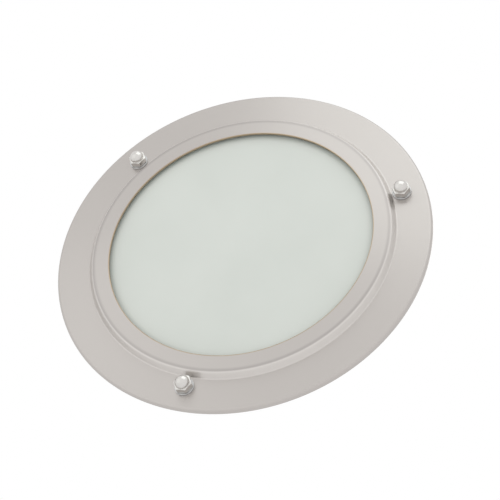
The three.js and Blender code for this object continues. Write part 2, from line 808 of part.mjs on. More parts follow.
function makeScrews() {
  const boardFaceZ = plateZ - 2 * flatGap - boardThickness;
  const reflectorFaceZ = reflectorBackZ - reflectorSheet - flatGap;
  const boardGrip = boardThickness + plateThickness;
  const reflectorGrip = reflectorSheet + plateThickness;
  letters.forEach((letter, index) => {
    const onPlate = polar(bossCircle, bossAngles[index]);
    const onBoard = polar(boardScrewCircle, betweenAngles[index]);
    const onReflector = polar(reflectorScrewCircle, thirds[index]);
    const plateFaceZ = plateZ - flatGap;
    addScrew(`plate_screw_${letter}`, plateScrew, plateScrewLength, onPlate, plateFaceZ, false);
    addScrew(`board_screw_${letter}`, smallScrew, boardGrip, onBoard, boardFaceZ, false);
    const name = `reflector_screw_${letter}`;
    addScrew(name, smallScrew, reflectorGrip, onReflector, reflectorFaceZ, false);
  });
  const earTopZ = plateTopZ + driverEarThickness + 2 * flatGap;
  const earGrip = driverEarThickness + plateThickness;
  const [left, right] = driverScrewPlaces();
  addScrew("driver_screw_a", smallScrew, earGrip, left, earTopZ, true);
  addScrew("driver_screw_b", smallScrew, earGrip, right, earTopZ, true);
  const footGrip = terminalFootHeight() + plateThickness;
  const footTopZ = plateTopZ + terminalFootHeight() + 2 * flatGap;
  const [first, second] = terminalScrewPlaces();
  addScrew("terminal_screw_a", smallScrew, footGrip, first, footTopZ, true);
  addScrew("terminal_screw_b", smallScrew, footGrip, second, footTopZ, true);
  const eyeletGrip = eyeletThickness + plateThickness;
  const eyeletTopZ = plateTopZ + eyeletThickness + 2 * flatGap;
  addScrew("earth_screw", smallScrew, eyeletGrip, [earthScrewX, earthScrewY], eyeletTopZ, true);
}

// Grommet: lines the hole that the light leads pass through
function makeGrommet() {
  const grommet = turned([
    [grommetBore, plateZ - grommetLip],
    [grommetFlange, plateZ - grommetLip],
    [grommetFlange, plateZ - flatGap],
    [grommetNeck, plateZ - flatGap],
    [grommetNeck, plateTopZ + flatGap],
    [grommetFlange, plateTopZ + flatGap],
    [grommetFlange, plateTopZ + grommetLip],
    [grommetBore, plateTopZ + grommetLip],
  ], slotFacets);
  add("lead_grommet", moved(grommet, grommetRadius, 0, 0), finish.blackRubber);
}

// Leads: two from the terminals to the driver, two on to the board, and one to the earth screw
function mainsLead(fromX, toX) {
  const wireZ = plateTopZ + flatGap + terminalWireHeight;
  const startY = terminalY + terminalDepth / 2 - leadInsertion;
  const endY = driverY - driverWidth / 2 - seatGap;
  const reach = (endY - startY) / 2;
  return new THREE.CubicBezierCurve3(
    new THREE.Vector3(fromX, startY, wireZ),
    new THREE.Vector3(fromX, startY + reach, wireZ),
    new THREE.Vector3(toX, endY - reach, wireZ),
    new THREE.Vector3(toX, endY, wireZ),
  );
}

function lightLead(side) {
  const bend = lightLeadBend;
  const offset = side * lightLeadSpacing / 2;
  const entryX = driverLength * lightEntryShare;
  const startY = driverY - driverWidth / 2 - seatGap;
  const startZ = plateTopZ + terminalWireHeight;
  const endZ = plateZ - flatGap - boardThickness - plugHeight / 2;
  const middleX = (entryX + grommetRadius) / 2 + offset;
  const middleY = startY / 2 - bend + offset;
  return new THREE.CatmullRomCurve3([
    new THREE.Vector3(entryX + offset, startY, startZ),
    new THREE.Vector3(entryX + offset, startY - bend, startZ),
    new THREE.Vector3(middleX, middleY, startZ + bend),
    new THREE.Vector3(grommetRadius - bend / 2, offset + bend / 2, startZ + bend),
    new THREE.Vector3(grommetRadius, offset, plateTopZ + bend),
    new THREE.Vector3(grommetRadius, offset, plateZ - grommetLip),
    new THREE.Vector3(grommetRadius - bend / 2, offset, endZ),
    new THREE.Vector3(boardRadius + seatGap, offset, endZ),
  ], false, "centripetal");
}

function earthLead() {
  const wireZ = plateTopZ + flatGap + terminalWireHeight;
  const startY = terminalY + terminalDepth / 2;
  const lowZ = plateTopZ + flatGap + mainsLeadRadius;
  const [, , fromX] = terminalPlaces();
  const reach = (earthScrewX - eyeletRadius - fromX) / 2;
  return new THREE.CubicBezierCurve3(
    new THREE.Vector3(fromX, startY - leadInsertion, wireZ),
    new THREE.Vector3(fromX, startY + reach, wireZ),
    new THREE.Vector3(fromX + reach, earthScrewY, lowZ),
    new THREE.Vector3(earthScrewX - eyeletRadius + flatGap, earthScrewY, lowZ),
  );
}

function makeLeads() {
  const [firstX, secondX] = terminalPlaces();
  const live = mainsLead(firstX, -driverLength * mainsEntryShares.live);
  const neutral = mainsLead(secondX, -driverLength * mainsEntryShares.neutral);
  add("lead_live", leadGeometry(live, mainsLeadRadius, mainsLeadSteps), finish.brownLead);
  add("lead_neutral", leadGeometry(neutral, mainsLeadRadius, mainsLeadSteps), finish.blueLead);
  const plus = leadGeometry(lightLead(1), lightLeadRadius, lightLeadSteps);
  const minus = leadGeometry(lightLead(-1), lightLeadRadius, lightLeadSteps);
  add("lead_light_plus", plus, finish.redLead);
  add("lead_light_minus", minus, finish.blackLead);
  const eyeletZ = plateTopZ + flatGap;
  const eyeletBore = smallScrew.shank + seatGap;
  const eyelet = ring(eyeletBore, eyeletRadius, eyeletZ, eyeletZ + eyeletThickness, slotFacets);
  const wire = toSolid(leadGeometry(earthLead(), mainsLeadRadius, mainsLeadSteps));
  const whole = wire.add(toSolid(moved(eyelet, earthScrewX, earthScrewY, 0)));
  add("lead_earth", toGeometry(whole), finish.greenLead);
}

// Cable gland: washer, body, seal, cap and the nut that holds the body from inside
function placeGland(name, geometry, look) {
  add(name, geometry, look).position.set(0, -glandRadius, 0);
}

function makeGlandBody() {
  const barrel = turned([
    [glandSeatBore, lockNutZ - stubEnd],
    [glandThread, lockNutZ - stubEnd],
    [glandThread, glandCollarZ - overrun],
    [glandCollarRadius, glandCollarZ - overrun],
    [glandCollarRadius, glandCollarTopZ],
    [glandBore, glandCollarTopZ],
    [glandBore, glandSeatZ],
    [glandSeatBore, glandSeatZ],
  ], smallFacets);
  const hex = toSolid(hexagon(glandFlats, glandHexZ, glandCollarZ));
  const middle = (glandBore + glandThread) / 2;
  const opening = disc(middle, glandHexZ - overrun, glandCollarZ + overrun, smallFacets);
  const body = toSolid(barrel).add(hex.subtract(toSolid(opening)));
  placeGland("gland_body", toGeometry(body), finish.blackNylon);
}

function makeGlandNut() {
  const nut = toSolid(hexagon(glandFlats, lockNutZ, lockNutTopZ));
  const bore = disc(glandThread + seatGap, lockNutZ - overrun, lockNutTopZ + overrun, smallFacets);
  placeGland("gland_lock_nut", toGeometry(nut.subtract(toSolid(bore))), finish.blackNylon);
}

function makeGlandSeals() {
  const bore = glandThread + seatGap;
  const lowWasherZ = padTopZ + flatGap;
  const washer = ring(bore, glandFlats / 2, lowWasherZ, glandHexZ - flatGap, smallFacets);
  placeGland("gland_washer", washer, finish.blackRubber);
  const lowZ = glandSeatZ + flatGap;
  placeGland("gland_seal", turned([
    [glandSealBore, lowZ],
    [glandBore - seatGap, lowZ],
    [glandBore - seatGap, glandCollarTopZ],
    [glandSealTop, lowZ + glandSealHeight],
    [glandSealBore, lowZ + glandSealHeight],
  ], smallFacets), finish.blackRubber);
}

function makeGlandCap() {
  const lowZ = glandCollarZ + seatGap;
  const topCapZ = lowZ + glandCapHeight;
  const collarTopZ = glandCollarTopZ + seatGap;
  const sealTopZ = glandSeatZ + glandSealHeight + seatGap;
  const cap = turned([
    [glandCollarRadius + seatGap, lowZ],
    [glandCapRadius, lowZ],
    [glandCapRadius, topCapZ - 2 * glandCapTop],
    [glandCapRadius - glandCapTop, topCapZ],
    [glandCapBore, topCapZ],
    [glandCapBore, sealTopZ],
    [glandSealTop + seatGap, sealTopZ],
    [glandBore + seatGap, collarTopZ],
    [glandCollarRadius + seatGap, collarTopZ],
  ], smallFacets);
  const pitch = 2 * Math.PI / glandCapRibs;
  const angles = Array.from({ length: glandCapRibs }, (unused, index) => index * pitch);
  const ribHeight = glandCapHeight - 2 * glandCapTop;
  const rib = block(glandRibDepth, glandRibWidth, ribHeight, 0, 0, lowZ);
  const whole = joined(toSolid(cap), allRound(rib, glandCapRadius, angles));
  placeGland("gland_cap", toGeometry(whole), finish.blackNylon);
}

makeTrimRing();
makeGlass();
makeGlassGasket();
makeGlassClips();
makeNuts();
makeSoffitGasket();
makeTrimSeal();
makeCan();
makeStuds();
makeReflector();
makeGearPlate();
makeBoard();
makeDriver();
makeTerminalBlock();
makeScrews();
makeGrommet();
makeLeads();
makeGlandBody();
makeGlandNut();
makeGlandSeals();
makeGlandCap();

export default downlight;
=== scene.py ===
# %% [markdown]
# # A recessed soffit downlight, dressed round its CAD frame
#
# The light hangs in a soffit and looks straight down. From below one sees a pressed ring of satin
# stainless steel, a satin glass behind it, and three polished cap nuts on their washers. Above them
# is a cast can with cooling fins and a cable gland.
#
# The CAD frame already has every piece at its real place, with plain facets. Each step of this
# lesson makes one finer piece in the same frame and hides the CAD node that it stands for.

# %% Load the frame
from math import cos, pi, radians, sin, tan

import bmesh
import bpy
from mathutils import Matrix, Vector


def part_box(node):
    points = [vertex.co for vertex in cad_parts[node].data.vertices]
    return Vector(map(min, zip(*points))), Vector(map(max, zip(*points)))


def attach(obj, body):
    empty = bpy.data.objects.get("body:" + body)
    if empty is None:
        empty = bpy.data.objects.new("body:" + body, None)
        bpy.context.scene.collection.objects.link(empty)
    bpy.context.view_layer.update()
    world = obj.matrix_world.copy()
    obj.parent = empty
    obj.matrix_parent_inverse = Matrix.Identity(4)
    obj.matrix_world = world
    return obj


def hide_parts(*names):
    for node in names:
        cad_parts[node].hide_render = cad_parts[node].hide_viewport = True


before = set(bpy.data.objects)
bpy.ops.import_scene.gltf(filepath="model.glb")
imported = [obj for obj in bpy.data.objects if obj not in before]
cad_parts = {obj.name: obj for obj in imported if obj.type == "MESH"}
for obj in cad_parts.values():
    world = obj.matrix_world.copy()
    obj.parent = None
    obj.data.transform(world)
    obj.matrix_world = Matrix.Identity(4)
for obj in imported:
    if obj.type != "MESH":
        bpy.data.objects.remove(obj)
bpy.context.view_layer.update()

# %% [markdown]
# ## Lengths and levels
#
# The shapes below are drawn in millimetres, because that is how a maker thinks of them, and
# turned into metres at the last moment. Most pieces take their lowest and highest level from the
# frame, so they can't drift from the nodes that they stand for. The other lengths repeat those of
# the CAD. The nuts stand a third of a turn apart, and the clips and slots stand between them.

# %% Read heights from the frame
mm = 0.001
letters = "abc"
third = 2 * pi / len(letters)
thirds = [index * third for index in range(len(letters))]
between = [angle + third / 2 for angle in thirds]
nut_circle = 104.8
aperture = 84.2
shoulder = 95.4
foot = 98.2
overrun = 1


def heights(node):
    """A CAD node's lowest and highest level, in millimetres."""
    low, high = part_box(node)
    return low.z / mm, high.z / mm


bezel_front, lip_end = heights("trim_ring")
glass_front, glass_back = heights("glass")
flange_back = -2
flange_front = -5
trim_front = -8.5
print("bezel face at", round(bezel_front, 2), "mm and glass face at", round(glass_front, 2), "mm")

# %% [markdown]
# ## Turned shapes
#
# Most pieces of this light are turned or spun on a lathe, so one tool makes them all. It draws half
# of the section as a wire, rounds each corner with a vertex bevel of its own radius, and spins the
# wire once round the axis. Rounding the wire is much cheaper than bevelling the spun mesh, and it
# gives an exact radius. A wire that starts and ends on the axis makes a solid, and a closed one
# makes a ring.

# %% Turn a section round the axis
bend_steps = 5


def draw_section(shape, corners, closed):
    """Draws rows of (radius, height, corner radius) as a wire in the XZ plane and rounds it."""
    points = [shape.verts.new((row[0] * mm, 0, row[1] * mm)) for row in corners]
    pairs = list(zip(points, points[1:]))
    if closed:
        pairs.append((points[-1], points[0]))
    for pair in pairs:
        shape.edges.new(pair)
    for index, (point, row) in enumerate(zip(points, corners)):
        if len(row) > 2 and row[2] > 0:
            here = Vector(row[:2])
            before = Vector(corners[index - 1][:2]) - here
            after = Vector(corners[(index + 1) % len(corners)][:2]) - here
            reach = row[2] / tan(before.angle(after) / 2)
            bmesh.ops.bevel(shape, geom=[point], offset=reach * mm, offset_type="OFFSET",
                            segments=bend_steps, profile=0.5, affect="VERTICES", material=-1,
                            clamp_overlap=False)


def turned(corners, steps=96, closed=True):
    """Spins a section once round Z and gives a closed shape."""
    shape = bmesh.new()
    draw_section(shape, corners, closed)
    bmesh.ops.spin(shape, geom=shape.verts[:] + shape.edges[:], cent=(0, 0, 0), axis=(0, 0, 1),
                   dvec=(0, 0, 0), angle=2 * pi, steps=steps, use_merge=True)
    bmesh.ops.remove_doubles(shape, verts=shape.verts[:], dist=1e-7)
    bmesh.ops.recalc_face_normals(shape, faces=shape.faces[:])
    return shape


def disc(radius, low, high, steps=32, eased=0):
    """A round plate or cutter, with its two edges eased if asked."""
    rows = [(0, low), (radius, low, eased), (radius, high, eased), (0, high)]
    return turned(rows, steps, closed=False)


def plain_ring(inner, outer, low, high, rounds, steps):
    """A ring with four corners, each with its radius, from the lower inner one outwards."""
    spots = [(inner, low), (outer, low), (outer, high), (inner, high)]
    return turned([(*spot, corner) for spot, corner in zip(spots, rounds)], steps)


# %% [markdown]
# ## Bent sheet
#
# A pressed sheet keeps its thickness round every bend. So a sheet is drawn by its front face alone:
# the back face follows at one thickness, and the bends of the back get the front's radius with the
# thickness added or taken away, by which way the sheet turns.

# %% Give a front face its back
def sheet_section(front, thickness, edge):
    """Front rows are (radius, height, bend radius); the back lies on their left-hand side."""
    points = [Vector(row[:2]) for row in front]
    ways = [(far - near).normalized() for near, far in zip(points, points[1:])]
    back = []
    for index, (point, row) in enumerate(zip(points, front)):
        way_in = ways[max(index - 1, 0)]
        way_out = ways[min(index, len(ways) - 1)]
        left_in, left_out = (Vector((-way.y, way.x)) for way in (way_in, way_out))
        middle = (left_in + left_out).normalized()
        place = point + middle * thickness / middle.dot(left_in)
        turn = way_in.cross(way_out)
        bend = row[2] - thickness if turn > 0 else row[2] + thickness
        back.append((place.x, place.y, edge if abs(turn) < 1e-6 else bend))
    return [*front, *reversed(back)]


# %% [markdown]
# ## Copies, cuts and finished pieces
#
# Holes, fins and recesses are cut or joined with the exact Boolean solver on throwaway objects, and
# only the result is kept. A finished piece is shaded smooth, with an edge kept sharp where its two
# faces meet at more than 30 degrees. A weighted normal modifier keeps large flat faces flat next to
# tight bends, which matters on satin steel, where a false gradient shows at once.

# %% Copy, place, join and cut
def new_mesh(name, shape):
    """A mesh made of a shape, which is used up."""
    skin = bpy.data.meshes.new(name)
    shape.to_mesh(skin)
    shape.free()
    return skin


def new_object(name, data):
    """An object in the scene that shows a mesh, or holds a lens or a lamp."""
    made = bpy.data.objects.new(name, data)
    bpy.context.scene.collection.objects.link(made)
    return made


def placed(shape, x=0.0, y=0.0, z=0.0, turn=0.0, flip=False):
    """A copy of a shape, turned over if asked, turned about Z and moved, in millimetres."""
    copy = shape.copy()
    motion = Matrix.Translation((x * mm, y * mm, z * mm)) @ Matrix.Rotation(turn, 4, "Z")
    if flip:
        motion = motion @ Matrix.Rotation(pi, 4, "X")
    bmesh.ops.transform(copy, matrix=motion, verts=copy.verts[:])
    return copy


def gathered(shapes):
    """Several shapes in one, side by side."""
    whole = bmesh.new()
    for shape in shapes:
        part = new_mesh("part", shape)
        whole.from_mesh(part)
        bpy.data.meshes.remove(part)
    return whole


def all_round(shape, radius, angles):
    """Copies of a shape at a radius and several angles, gathered in one."""
    spots = [(radius * cos(angle), radius * sin(angle), angle) for angle in angles]
    return gathered([placed(shape, x, y, 0, angle) for x, y, angle in spots])


def combined(first, second, operation):
    """Joins, cuts or intersects two closed shapes with the exact solver."""
    holders = [new_object("throwaway", new_mesh("throwaway", shape)) for shape in (first, second)]
    solver = holders[0].modifiers.new("solver", "BOOLEAN")
    solver.operation = operation
    solver.solver = "EXACT"
    solver.object = holders[1]
    result = bmesh.new()
    result.from_object(holders[0], bpy.context.evaluated_depsgraph_get())
    for holder in holders:
        skin = holder.data
        bpy.data.objects.remove(holder)
        bpy.data.meshes.remove(skin)
    bmesh.ops.remove_doubles(result, verts=result.verts[:], dist=1e-7)
    return result


# %% Finish a piece
sharp_angle = radians(30)
finishes = {}


def finished(name, shape, body, nodes, slot):
    """Makes the object, puts it on its body and hides the CAD nodes that it stands for."""
    for face in shape.faces:
        face.smooth = True
    for edge in shape.edges:
        edge.smooth = len(edge.link_faces) == 2 and edge.calc_face_angle() < sharp_angle
    skin = new_mesh(name, shape)
    piece = new_object(name, skin)
    for finish in slot if isinstance(slot, tuple) else (slot,):
        skin.materials.append(finishes[finish])
    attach(piece, body)
    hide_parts(*nodes)
    shading = piece.modifiers.new("flat faces stay flat", "WEIGHTED_NORMAL")
    shading.keep_sharp = True
    print(f"{name}: {len(skin.polygons)} faces on {body}")


# %% [markdown]
# ## Shader sums
#
# A finish is a small sum of noises, masks and colours. Written as Python it reads like one:
# `1 - grain * 0.2` adds its Math nodes by itself. One method adds any other node, with its settings
# first and then the values or links of its sockets.

# %% Wrap a shader socket
class Wire:
    """One output of a finish's node tree, which takes part in Python sums."""

    def __init__(self, tree, socket=None):
        self.tree = tree
        self.socket = socket

    def node(self, kind, settings=None, inputs=None, output=0):
        """Adds a node: settings first, then values or links of its sockets."""
        made = self.tree.nodes.new(kind)
        for name, value in (settings or {}).items():
            setattr(made, name, value)
        for name, value in (inputs or {}).items():
            if isinstance(value, Wire):
                self.tree.links.new(value.socket, made.inputs[name])
            else:
                made.inputs[name].default_value = value
        return Wire(self.tree, made.outputs[output] if made.outputs else None)

    def maths(self, operation, first, second=0.0):
        """One sum of two values or wires."""
        return self.node("ShaderNodeMath", {"operation": operation}, {0: first, 1: second})

    def __add__(self, other):
        return self.maths("ADD", self, other)

    def __sub__(self, other):
        return self.maths("SUBTRACT", self, other)

    def __mul__(self, other):
        return self.maths("MULTIPLY", self, other)

    def __rsub__(self, other):
        return self.maths("SUBTRACT", other, self)

    __radd__ = __add__
    __rmul__ = __mul__

    def step(self, low, high):
        """Rises smoothly from 0 to 1 as the value goes from low to high."""
        settings = {"interpolation_type": "SMOOTHSTEP"}
        return self.node("ShaderNodeMapRange", settings,
                         {"Value": self, "From Min": low, "From Max": high})

    def band(self, low, high, rise, fall):
        """1 from low to high, both in millimetres, with a soft edge of its own width at each."""
        begun = self.step(low * mm, (low + rise) * mm)
        ended = self.step((high - fall) * mm, high * mm)
        return begun * (1 - ended)

    def part(self, axis):
        """One coordinate of a vector."""
        return self.node("ShaderNodeSeparateXYZ", inputs={"Vector": self}, output=axis)

    def from_axis(self):
        """The distance of a place from Z, in metres."""
        x, y = self.part(0), self.part(1)
        return self.maths("SQRT", x * x + y * y)

    def noise(self, size, detail=2.0, roughness=0.5):
        """A noise whose grains are about size metres across, from 0 to 1."""
        inputs = {"Vector": self, "Scale": 1 / size, "Detail": detail, "Roughness": roughness}
        return self.node("ShaderNodeTexNoise", inputs=inputs)


def mixed(factor, low, high):
    """A colour between two others. A Mix node has its colours at sockets 6 and 7."""
    low, high = ((*colour, 1) if isinstance(colour, tuple) else colour for colour in (low, high))
    inputs = {0: factor, 6: low, 7: high}
    return factor.node("ShaderNodeMix", {"data_type": "RGBA"}, inputs, output=2)


# %% Start a finish
def new_finish(slot):
    """A material with its shader and a wire that carries the piece's own coordinates."""
    material = bpy.data.materials.new(slot)
    material.use_nodes = True
    finishes[slot] = material
    tree = material.node_tree
    shader = tree.nodes["Principled BSDF"]
    start = Wire(tree)
    print("finish:", slot)
    return shader, start.node("ShaderNodeTexCoord", output="Object")


def set_finish(shader, **sockets):
    """Sets or links the shader's sockets by name, with underscores for spaces."""
    for name, value in sockets.items():
        socket = shader.inputs[name.replace("_", " ")]
        if isinstance(value, Wire):
            value.tree.links.new(value.socket, socket)
        else:
            socket.default_value = (*value, 1) if isinstance(value, tuple) else value


def bump(height, depth):
    """A normal from a height wire, where 1 stands for depth metres."""
    inputs = {"Height": height, "Distance": depth, "Strength": 1.0}
    return height.node("ShaderNodeBump", inputs=inputs)


# %% [markdown]
# ## Satin stainless steel
#
# The ring is pressed and then brushed as it turns, so its scratches are fine circles round the
# axis. They spread a highlight outwards and inwards, and leave it narrow along the circle, which is
# why such a ring shows two soft bright lobes across from each other. The shader's own anisotropy
# does that, turned a quarter from its first direction. The scratches themselves are a noise that is
# read along the radius, with a slow change round the ring, and they move the roughness and the
# height a little. A wide mottle stands for the handling that every satin sheet shows.
#
# Three masks follow the distance from the axis, and each paints light or shade into the colour.
# The wall of the step is painted brighter, as a painted highlight. Its shoulder is painted darker,
# as a painted shade, and a thin brown line of painted shade runs round the opening, where the
# sheet's cut edge lies in shadow.

# %% Brush the ring
shader, place = new_finish("trim_steel")
x, y, z = (place.part(axis) for axis in range(3))
radius = place.from_axis()
slow_round = place.maths("ARCTAN2", y, x) * 0.004
groove_place = place.node("ShaderNodeCombineXYZ", inputs={0: radius, 1: slow_round, 2: z})
grooves = groove_place.noise(0.00035, 3, 0.65)
mottle = place.noise(0.035, 3, 0.55)
tone = (mottle - 0.5) * 0.35 + 0.5 + (grooves - 0.5) * 0.25
brushed = mixed(tone, (0.48, 0.452, 0.433), (0.535, 0.505, 0.485))
# painted shade: the shoulder of the step is darkened in the colour
painted_shoulder_shade = radius.band(shoulder - 2.9, shoulder + 0.6, rise=2, fall=1)
# painted highlight: the wall of the step is lightened in the colour
painted_wall_highlight = radius.band(shoulder - 0.8, foot + 0.6, rise=1, fall=1)
# painted shade: a thin brown line round the opening, for the cut edge in shadow
painted_edge_shade = 1 - radius.step((aperture + 0.3) * mm, (aperture + 0.8) * mm)
flats = mixed(painted_shoulder_shade * 0.6, brushed, (0.36, 0.335, 0.325))
steel = mixed(painted_wall_highlight, flats, (0.66, 0.63, 0.605))
set_finish(shader, Base_Color=mixed(painted_edge_shade, steel, (0.44, 0.35, 0.25)), Metallic=1.0,
           Roughness=0.36 + (grooves - 0.5) * 0.1 + (mottle - 0.5) * 0.05,
           Anisotropic=0.7, Anisotropic_Rotation=0.25, Normal=bump(grooves, 0.000012))
print("trim_steel:", len(finishes["trim_steel"].node_tree.nodes), "nodes")

# %% [markdown]
# ## Polished and plated steel
#
# The cap nuts are polished: a low roughness, with faint wipe marks so that they don't look like
# mirrors. Washers, studs, screws, clips and the gear plate are zinc plated, which is greyer, more
# matt, and cloudy in patches of a few millimetres.

# %% Polish the nuts and plate the fixings
shader, place = new_finish("polished_steel")
wipes = place.noise(0.004, 3, 0.6)
specks = place.noise(0.0006, 2)
set_finish(shader, Base_Color=mixed(wipes, (0.60, 0.582, 0.56), (0.68, 0.662, 0.64)), Metallic=1.0,
           Roughness=0.17 + wipes * 0.08 + (specks - 0.5) * 0.04, Normal=bump(specks, 0.000004))

shader, place = new_finish("zinc_steel")
clouds = place.noise(0.003, 4, 0.6)
specks = place.noise(0.0004, 2)
set_finish(shader, Base_Color=mixed(clouds, (0.53, 0.53, 0.53), (0.63, 0.63, 0.63)), Metallic=1.0,
           Roughness=0.28 + clouds * 0.18, Normal=bump(specks, 0.000008))

# %% [markdown]
# ## Satin glass
#
# The glass is etched on its face, so it scatters the light instead of showing what is behind it.
# Its body is faintly green, as thick plain glass is. Most of what one sees is the scattered light,
# so the base colour carries it, with a little transmission for depth and a fine etched grain in the
# roughness and the height. Towards the bezel the colour is painted darker, as a painted shade for
# the shadow that the bezel and the grey gasket throw on the glass there.

# %% Etch the glass
shader, place = new_finish("satin_glass")
etch = place.noise(0.0005, 2, 0.6)
haze = place.noise(0.05, 2, 0.5)
# painted shade: the glass is darkened towards the bezel
painted_rim_shade = place.from_axis().step((aperture - 4.2) * mm, (aperture + 3) * mm)
body = mixed(haze, (0.615, 0.646, 0.605), (0.69, 0.716, 0.677))
set_finish(shader, Base_Color=mixed(painted_rim_shade, body, (0.52, 0.56, 0.52)), IOR=1.5,
           Roughness=0.42 + (etch - 0.5) * 0.16, Transmission_Weight=0.12,
           Normal=bump(etch, 0.00001))

# %% [markdown]
# ## Cast aluminium
#
# The can is a pressure casting. Its skin has a pebbled grain of less than a millimetre, a slight
# unevenness over centimetres where the metal chilled at different speeds, and small pits that gas
# has left in it. The pits are spots of a cell noise, a little deeper and rougher than the skin.

# %% Cast the can
shader, place = new_finish("cast_aluminium")
pebbles = place.noise(0.0007, 4, 0.6)
chill = place.noise(0.02, 3, 0.5)
pits = place.node("ShaderNodeTexVoronoi", inputs={"Vector": place, "Scale": 420.0})
pit_mask = 1 - pits.step(0.02, 0.16)
tone = (chill - 0.5) * 0.7 + 0.5 + (pebbles - 0.5) * 0.5
set_finish(shader, Base_Color=mixed(tone, (0.36, 0.37, 0.38), (0.50, 0.51, 0.515)), Metallic=0.9,
           Roughness=0.46 + (pebbles - 0.5) * 0.2 + pit_mask * 0.1,
           Normal=bump(pebbles - pit_mask * 0.25, 0.00006))

# %% [markdown]
# ## Rubbers, nylons, paint and leads
#
# These all come from one recipe: a colour that drifts a little, a moulded or foamed grain in the
# height, and a roughness that follows the same grain. The rows below give each its own colour,
# grain size, grain depth and gloss. The rubbers are matt, the nylons have a fine spark-eroded
# grain, the reflector's paint has a slight orange peel and the leads' sheaths are smoother.

# %% Mix the plain finishes
plain_rows = {
    "grey_silicone": ((0.23, 0.245, 0.23), 0.0012, 0.00002, 0.62),
    "black_rubber": ((0.026, 0.027, 0.028), 0.0009, 0.00005, 0.72),
    "black_nylon": ((0.020, 0.021, 0.022), 0.0005, 0.00003, 0.46),
    "white_paint": ((0.80, 0.80, 0.775), 0.0018, 0.00001, 0.38),
    "white_board": ((0.76, 0.78, 0.74), 0.0008, 0.000008, 0.40),
    "white_nylon": ((0.70, 0.69, 0.64), 0.0006, 0.00002, 0.48),
    "brown_lead": ((0.15, 0.053, 0.02), 0.002, 0.000015, 0.42),
    "blue_lead": ((0.028, 0.114, 0.342), 0.002, 0.000015, 0.42),
    "red_lead": ((0.376, 0.03, 0.023), 0.002, 0.000015, 0.42),
    "black_lead": ((0.018, 0.018, 0.021), 0.002, 0.000015, 0.42),
    "green_lead": ((0.073, 0.254, 0.042), 0.002, 0.000015, 0.42),
}
for slot, (colour, grain_size, grain_depth, gloss) in plain_rows.items():
    shader, place = new_finish(slot)
    grain = place.noise(grain_size, 3, 0.6)
    drift = place.noise(0.015, 2)
    low = tuple(part * 0.86 for part in colour)
    high = tuple(min(part * 1.14, 1.0) for part in colour)
    set_finish(shader, Base_Color=mixed(drift * 0.7 + grain * 0.3, low, high),
               Roughness=gloss + (grain - 0.5) * 0.18, Normal=bump(grain, grain_depth))

shader, place = new_finish("phosphor")
grain = place.noise(0.0003, 2)
set_finish(shader, Base_Color=mixed(grain, (0.78, 0.56, 0.08), (0.88, 0.68, 0.16)),
           Roughness=0.35 + grain * 0.1)
print(len(finishes), "finishes")

# %% [markdown]
# ## The trim ring
#
# On the real light this is one disc of sheet, 1.5 mm thick. The press turns its rim back into a
# short lip, leaves a flat flange for the nuts, raises a step and finishes with a flat bezel round
# the opening. It could be modelled as stacked rings, but then the bends would be creases. As a bent
# sheet each bend has its real radius, and the light runs round it as it does on the pressed piece.
# The stud holes are cut last, as in the press.

# %% Press the trim ring
trim_sheet = 1.5
trim_outer = 120
cut_edge = 0.25
shoulder_bend = 2.2
foot_bend = 1.2
lip_bend = 2
trim_hole = 3.5
trim_face = [
    (aperture, bezel_front, cut_edge),
    (shoulder, bezel_front, shoulder_bend),
    (foot, trim_front, foot_bend),
    (trim_outer, trim_front, lip_bend),
    (trim_outer, lip_end, cut_edge),
]
ring = turned(sheet_section(trim_face, trim_sheet, cut_edge), steps=192)
stud_hole = disc(trim_hole, trim_front - overrun, trim_front + trim_sheet + overrun, 48)
ring = combined(ring, all_round(stud_hole, nut_circle, thirds), "DIFFERENCE")
finished("pressed_trim_ring", ring, "trim", ["trim_ring"], "trim_steel")

# %% [markdown]
# ## The glass and its gasket
#
# The glass is a disc with ground edges, and a grey silicone gasket of U section goes round its rim.
# The front limb of the gasket fills most of the gap behind the bezel. That gap is what makes the
# dark line under the far side of the bezel, so its depth matters more than the gasket's own shape.

# %% Cut the glass and fit the gasket
glass_radius = 90.3
ground = 0.6
glass = disc(glass_radius, glass_front, glass_back, 144, ground)
finished("etched_glass", glass, "trim", ["glass"], "satin_glass")

gasket_low, gasket_high = heights("glass_gasket")
gasket_inner = 86.7
gasket_outer = 92.6
seat = 0.3
gasket = turned([
    (gasket_inner, gasket_low, 0.5),
    (gasket_outer, gasket_low, 0.4),
    (gasket_outer, gasket_high, 0.6),
    (gasket_inner, gasket_high, 0.3),
    (gasket_inner, glass_back + seat, 0.3),
    (glass_radius + seat, glass_back + seat, 0.2),
    (glass_radius + seat, glass_front - seat, 0.2),
    (gasket_inner, glass_front - seat, 0.5),
], steps=144)
finished("glass_edge_gasket", gasket, "trim", ["glass_gasket"], "grey_silicone")

# %% [markdown]
# ## Clips behind the ring
#
# Three straps of spring steel are welded behind the flange and bend over the gasket, so the glass
# stays in when the ring comes down. Each is a bent sheet again, this time pulled straight along its
# width instead of spun.

# %% Bend the clips
clip_low, clip_high = heights("glass_clip_a")
clip_sheet = 0.8
clip_width = 12
sheared = 0.15
clip_tip = 87.6
clip_wall = 94.6
clip_foot = 103.4
strap_face = [
    (clip_tip, clip_high - clip_sheet, sheared),
    (clip_wall, clip_high - clip_sheet, 0.4),
    (clip_wall, clip_low, 1.2),
    (clip_foot, clip_low, sheared),
]


def pulled(shape, faces, way):
    """A flat outline pulled into a solid, by a way in millimetres."""
    grown = bmesh.ops.extrude_face_region(shape, geom=faces)["geom"]
    moved = [part for part in grown if isinstance(part, bmesh.types.BMVert)]
    bmesh.ops.translate(shape, vec=Vector(way) * mm, verts=moved)
    bmesh.ops.recalc_face_normals(shape, faces=shape.faces[:])
    return shape


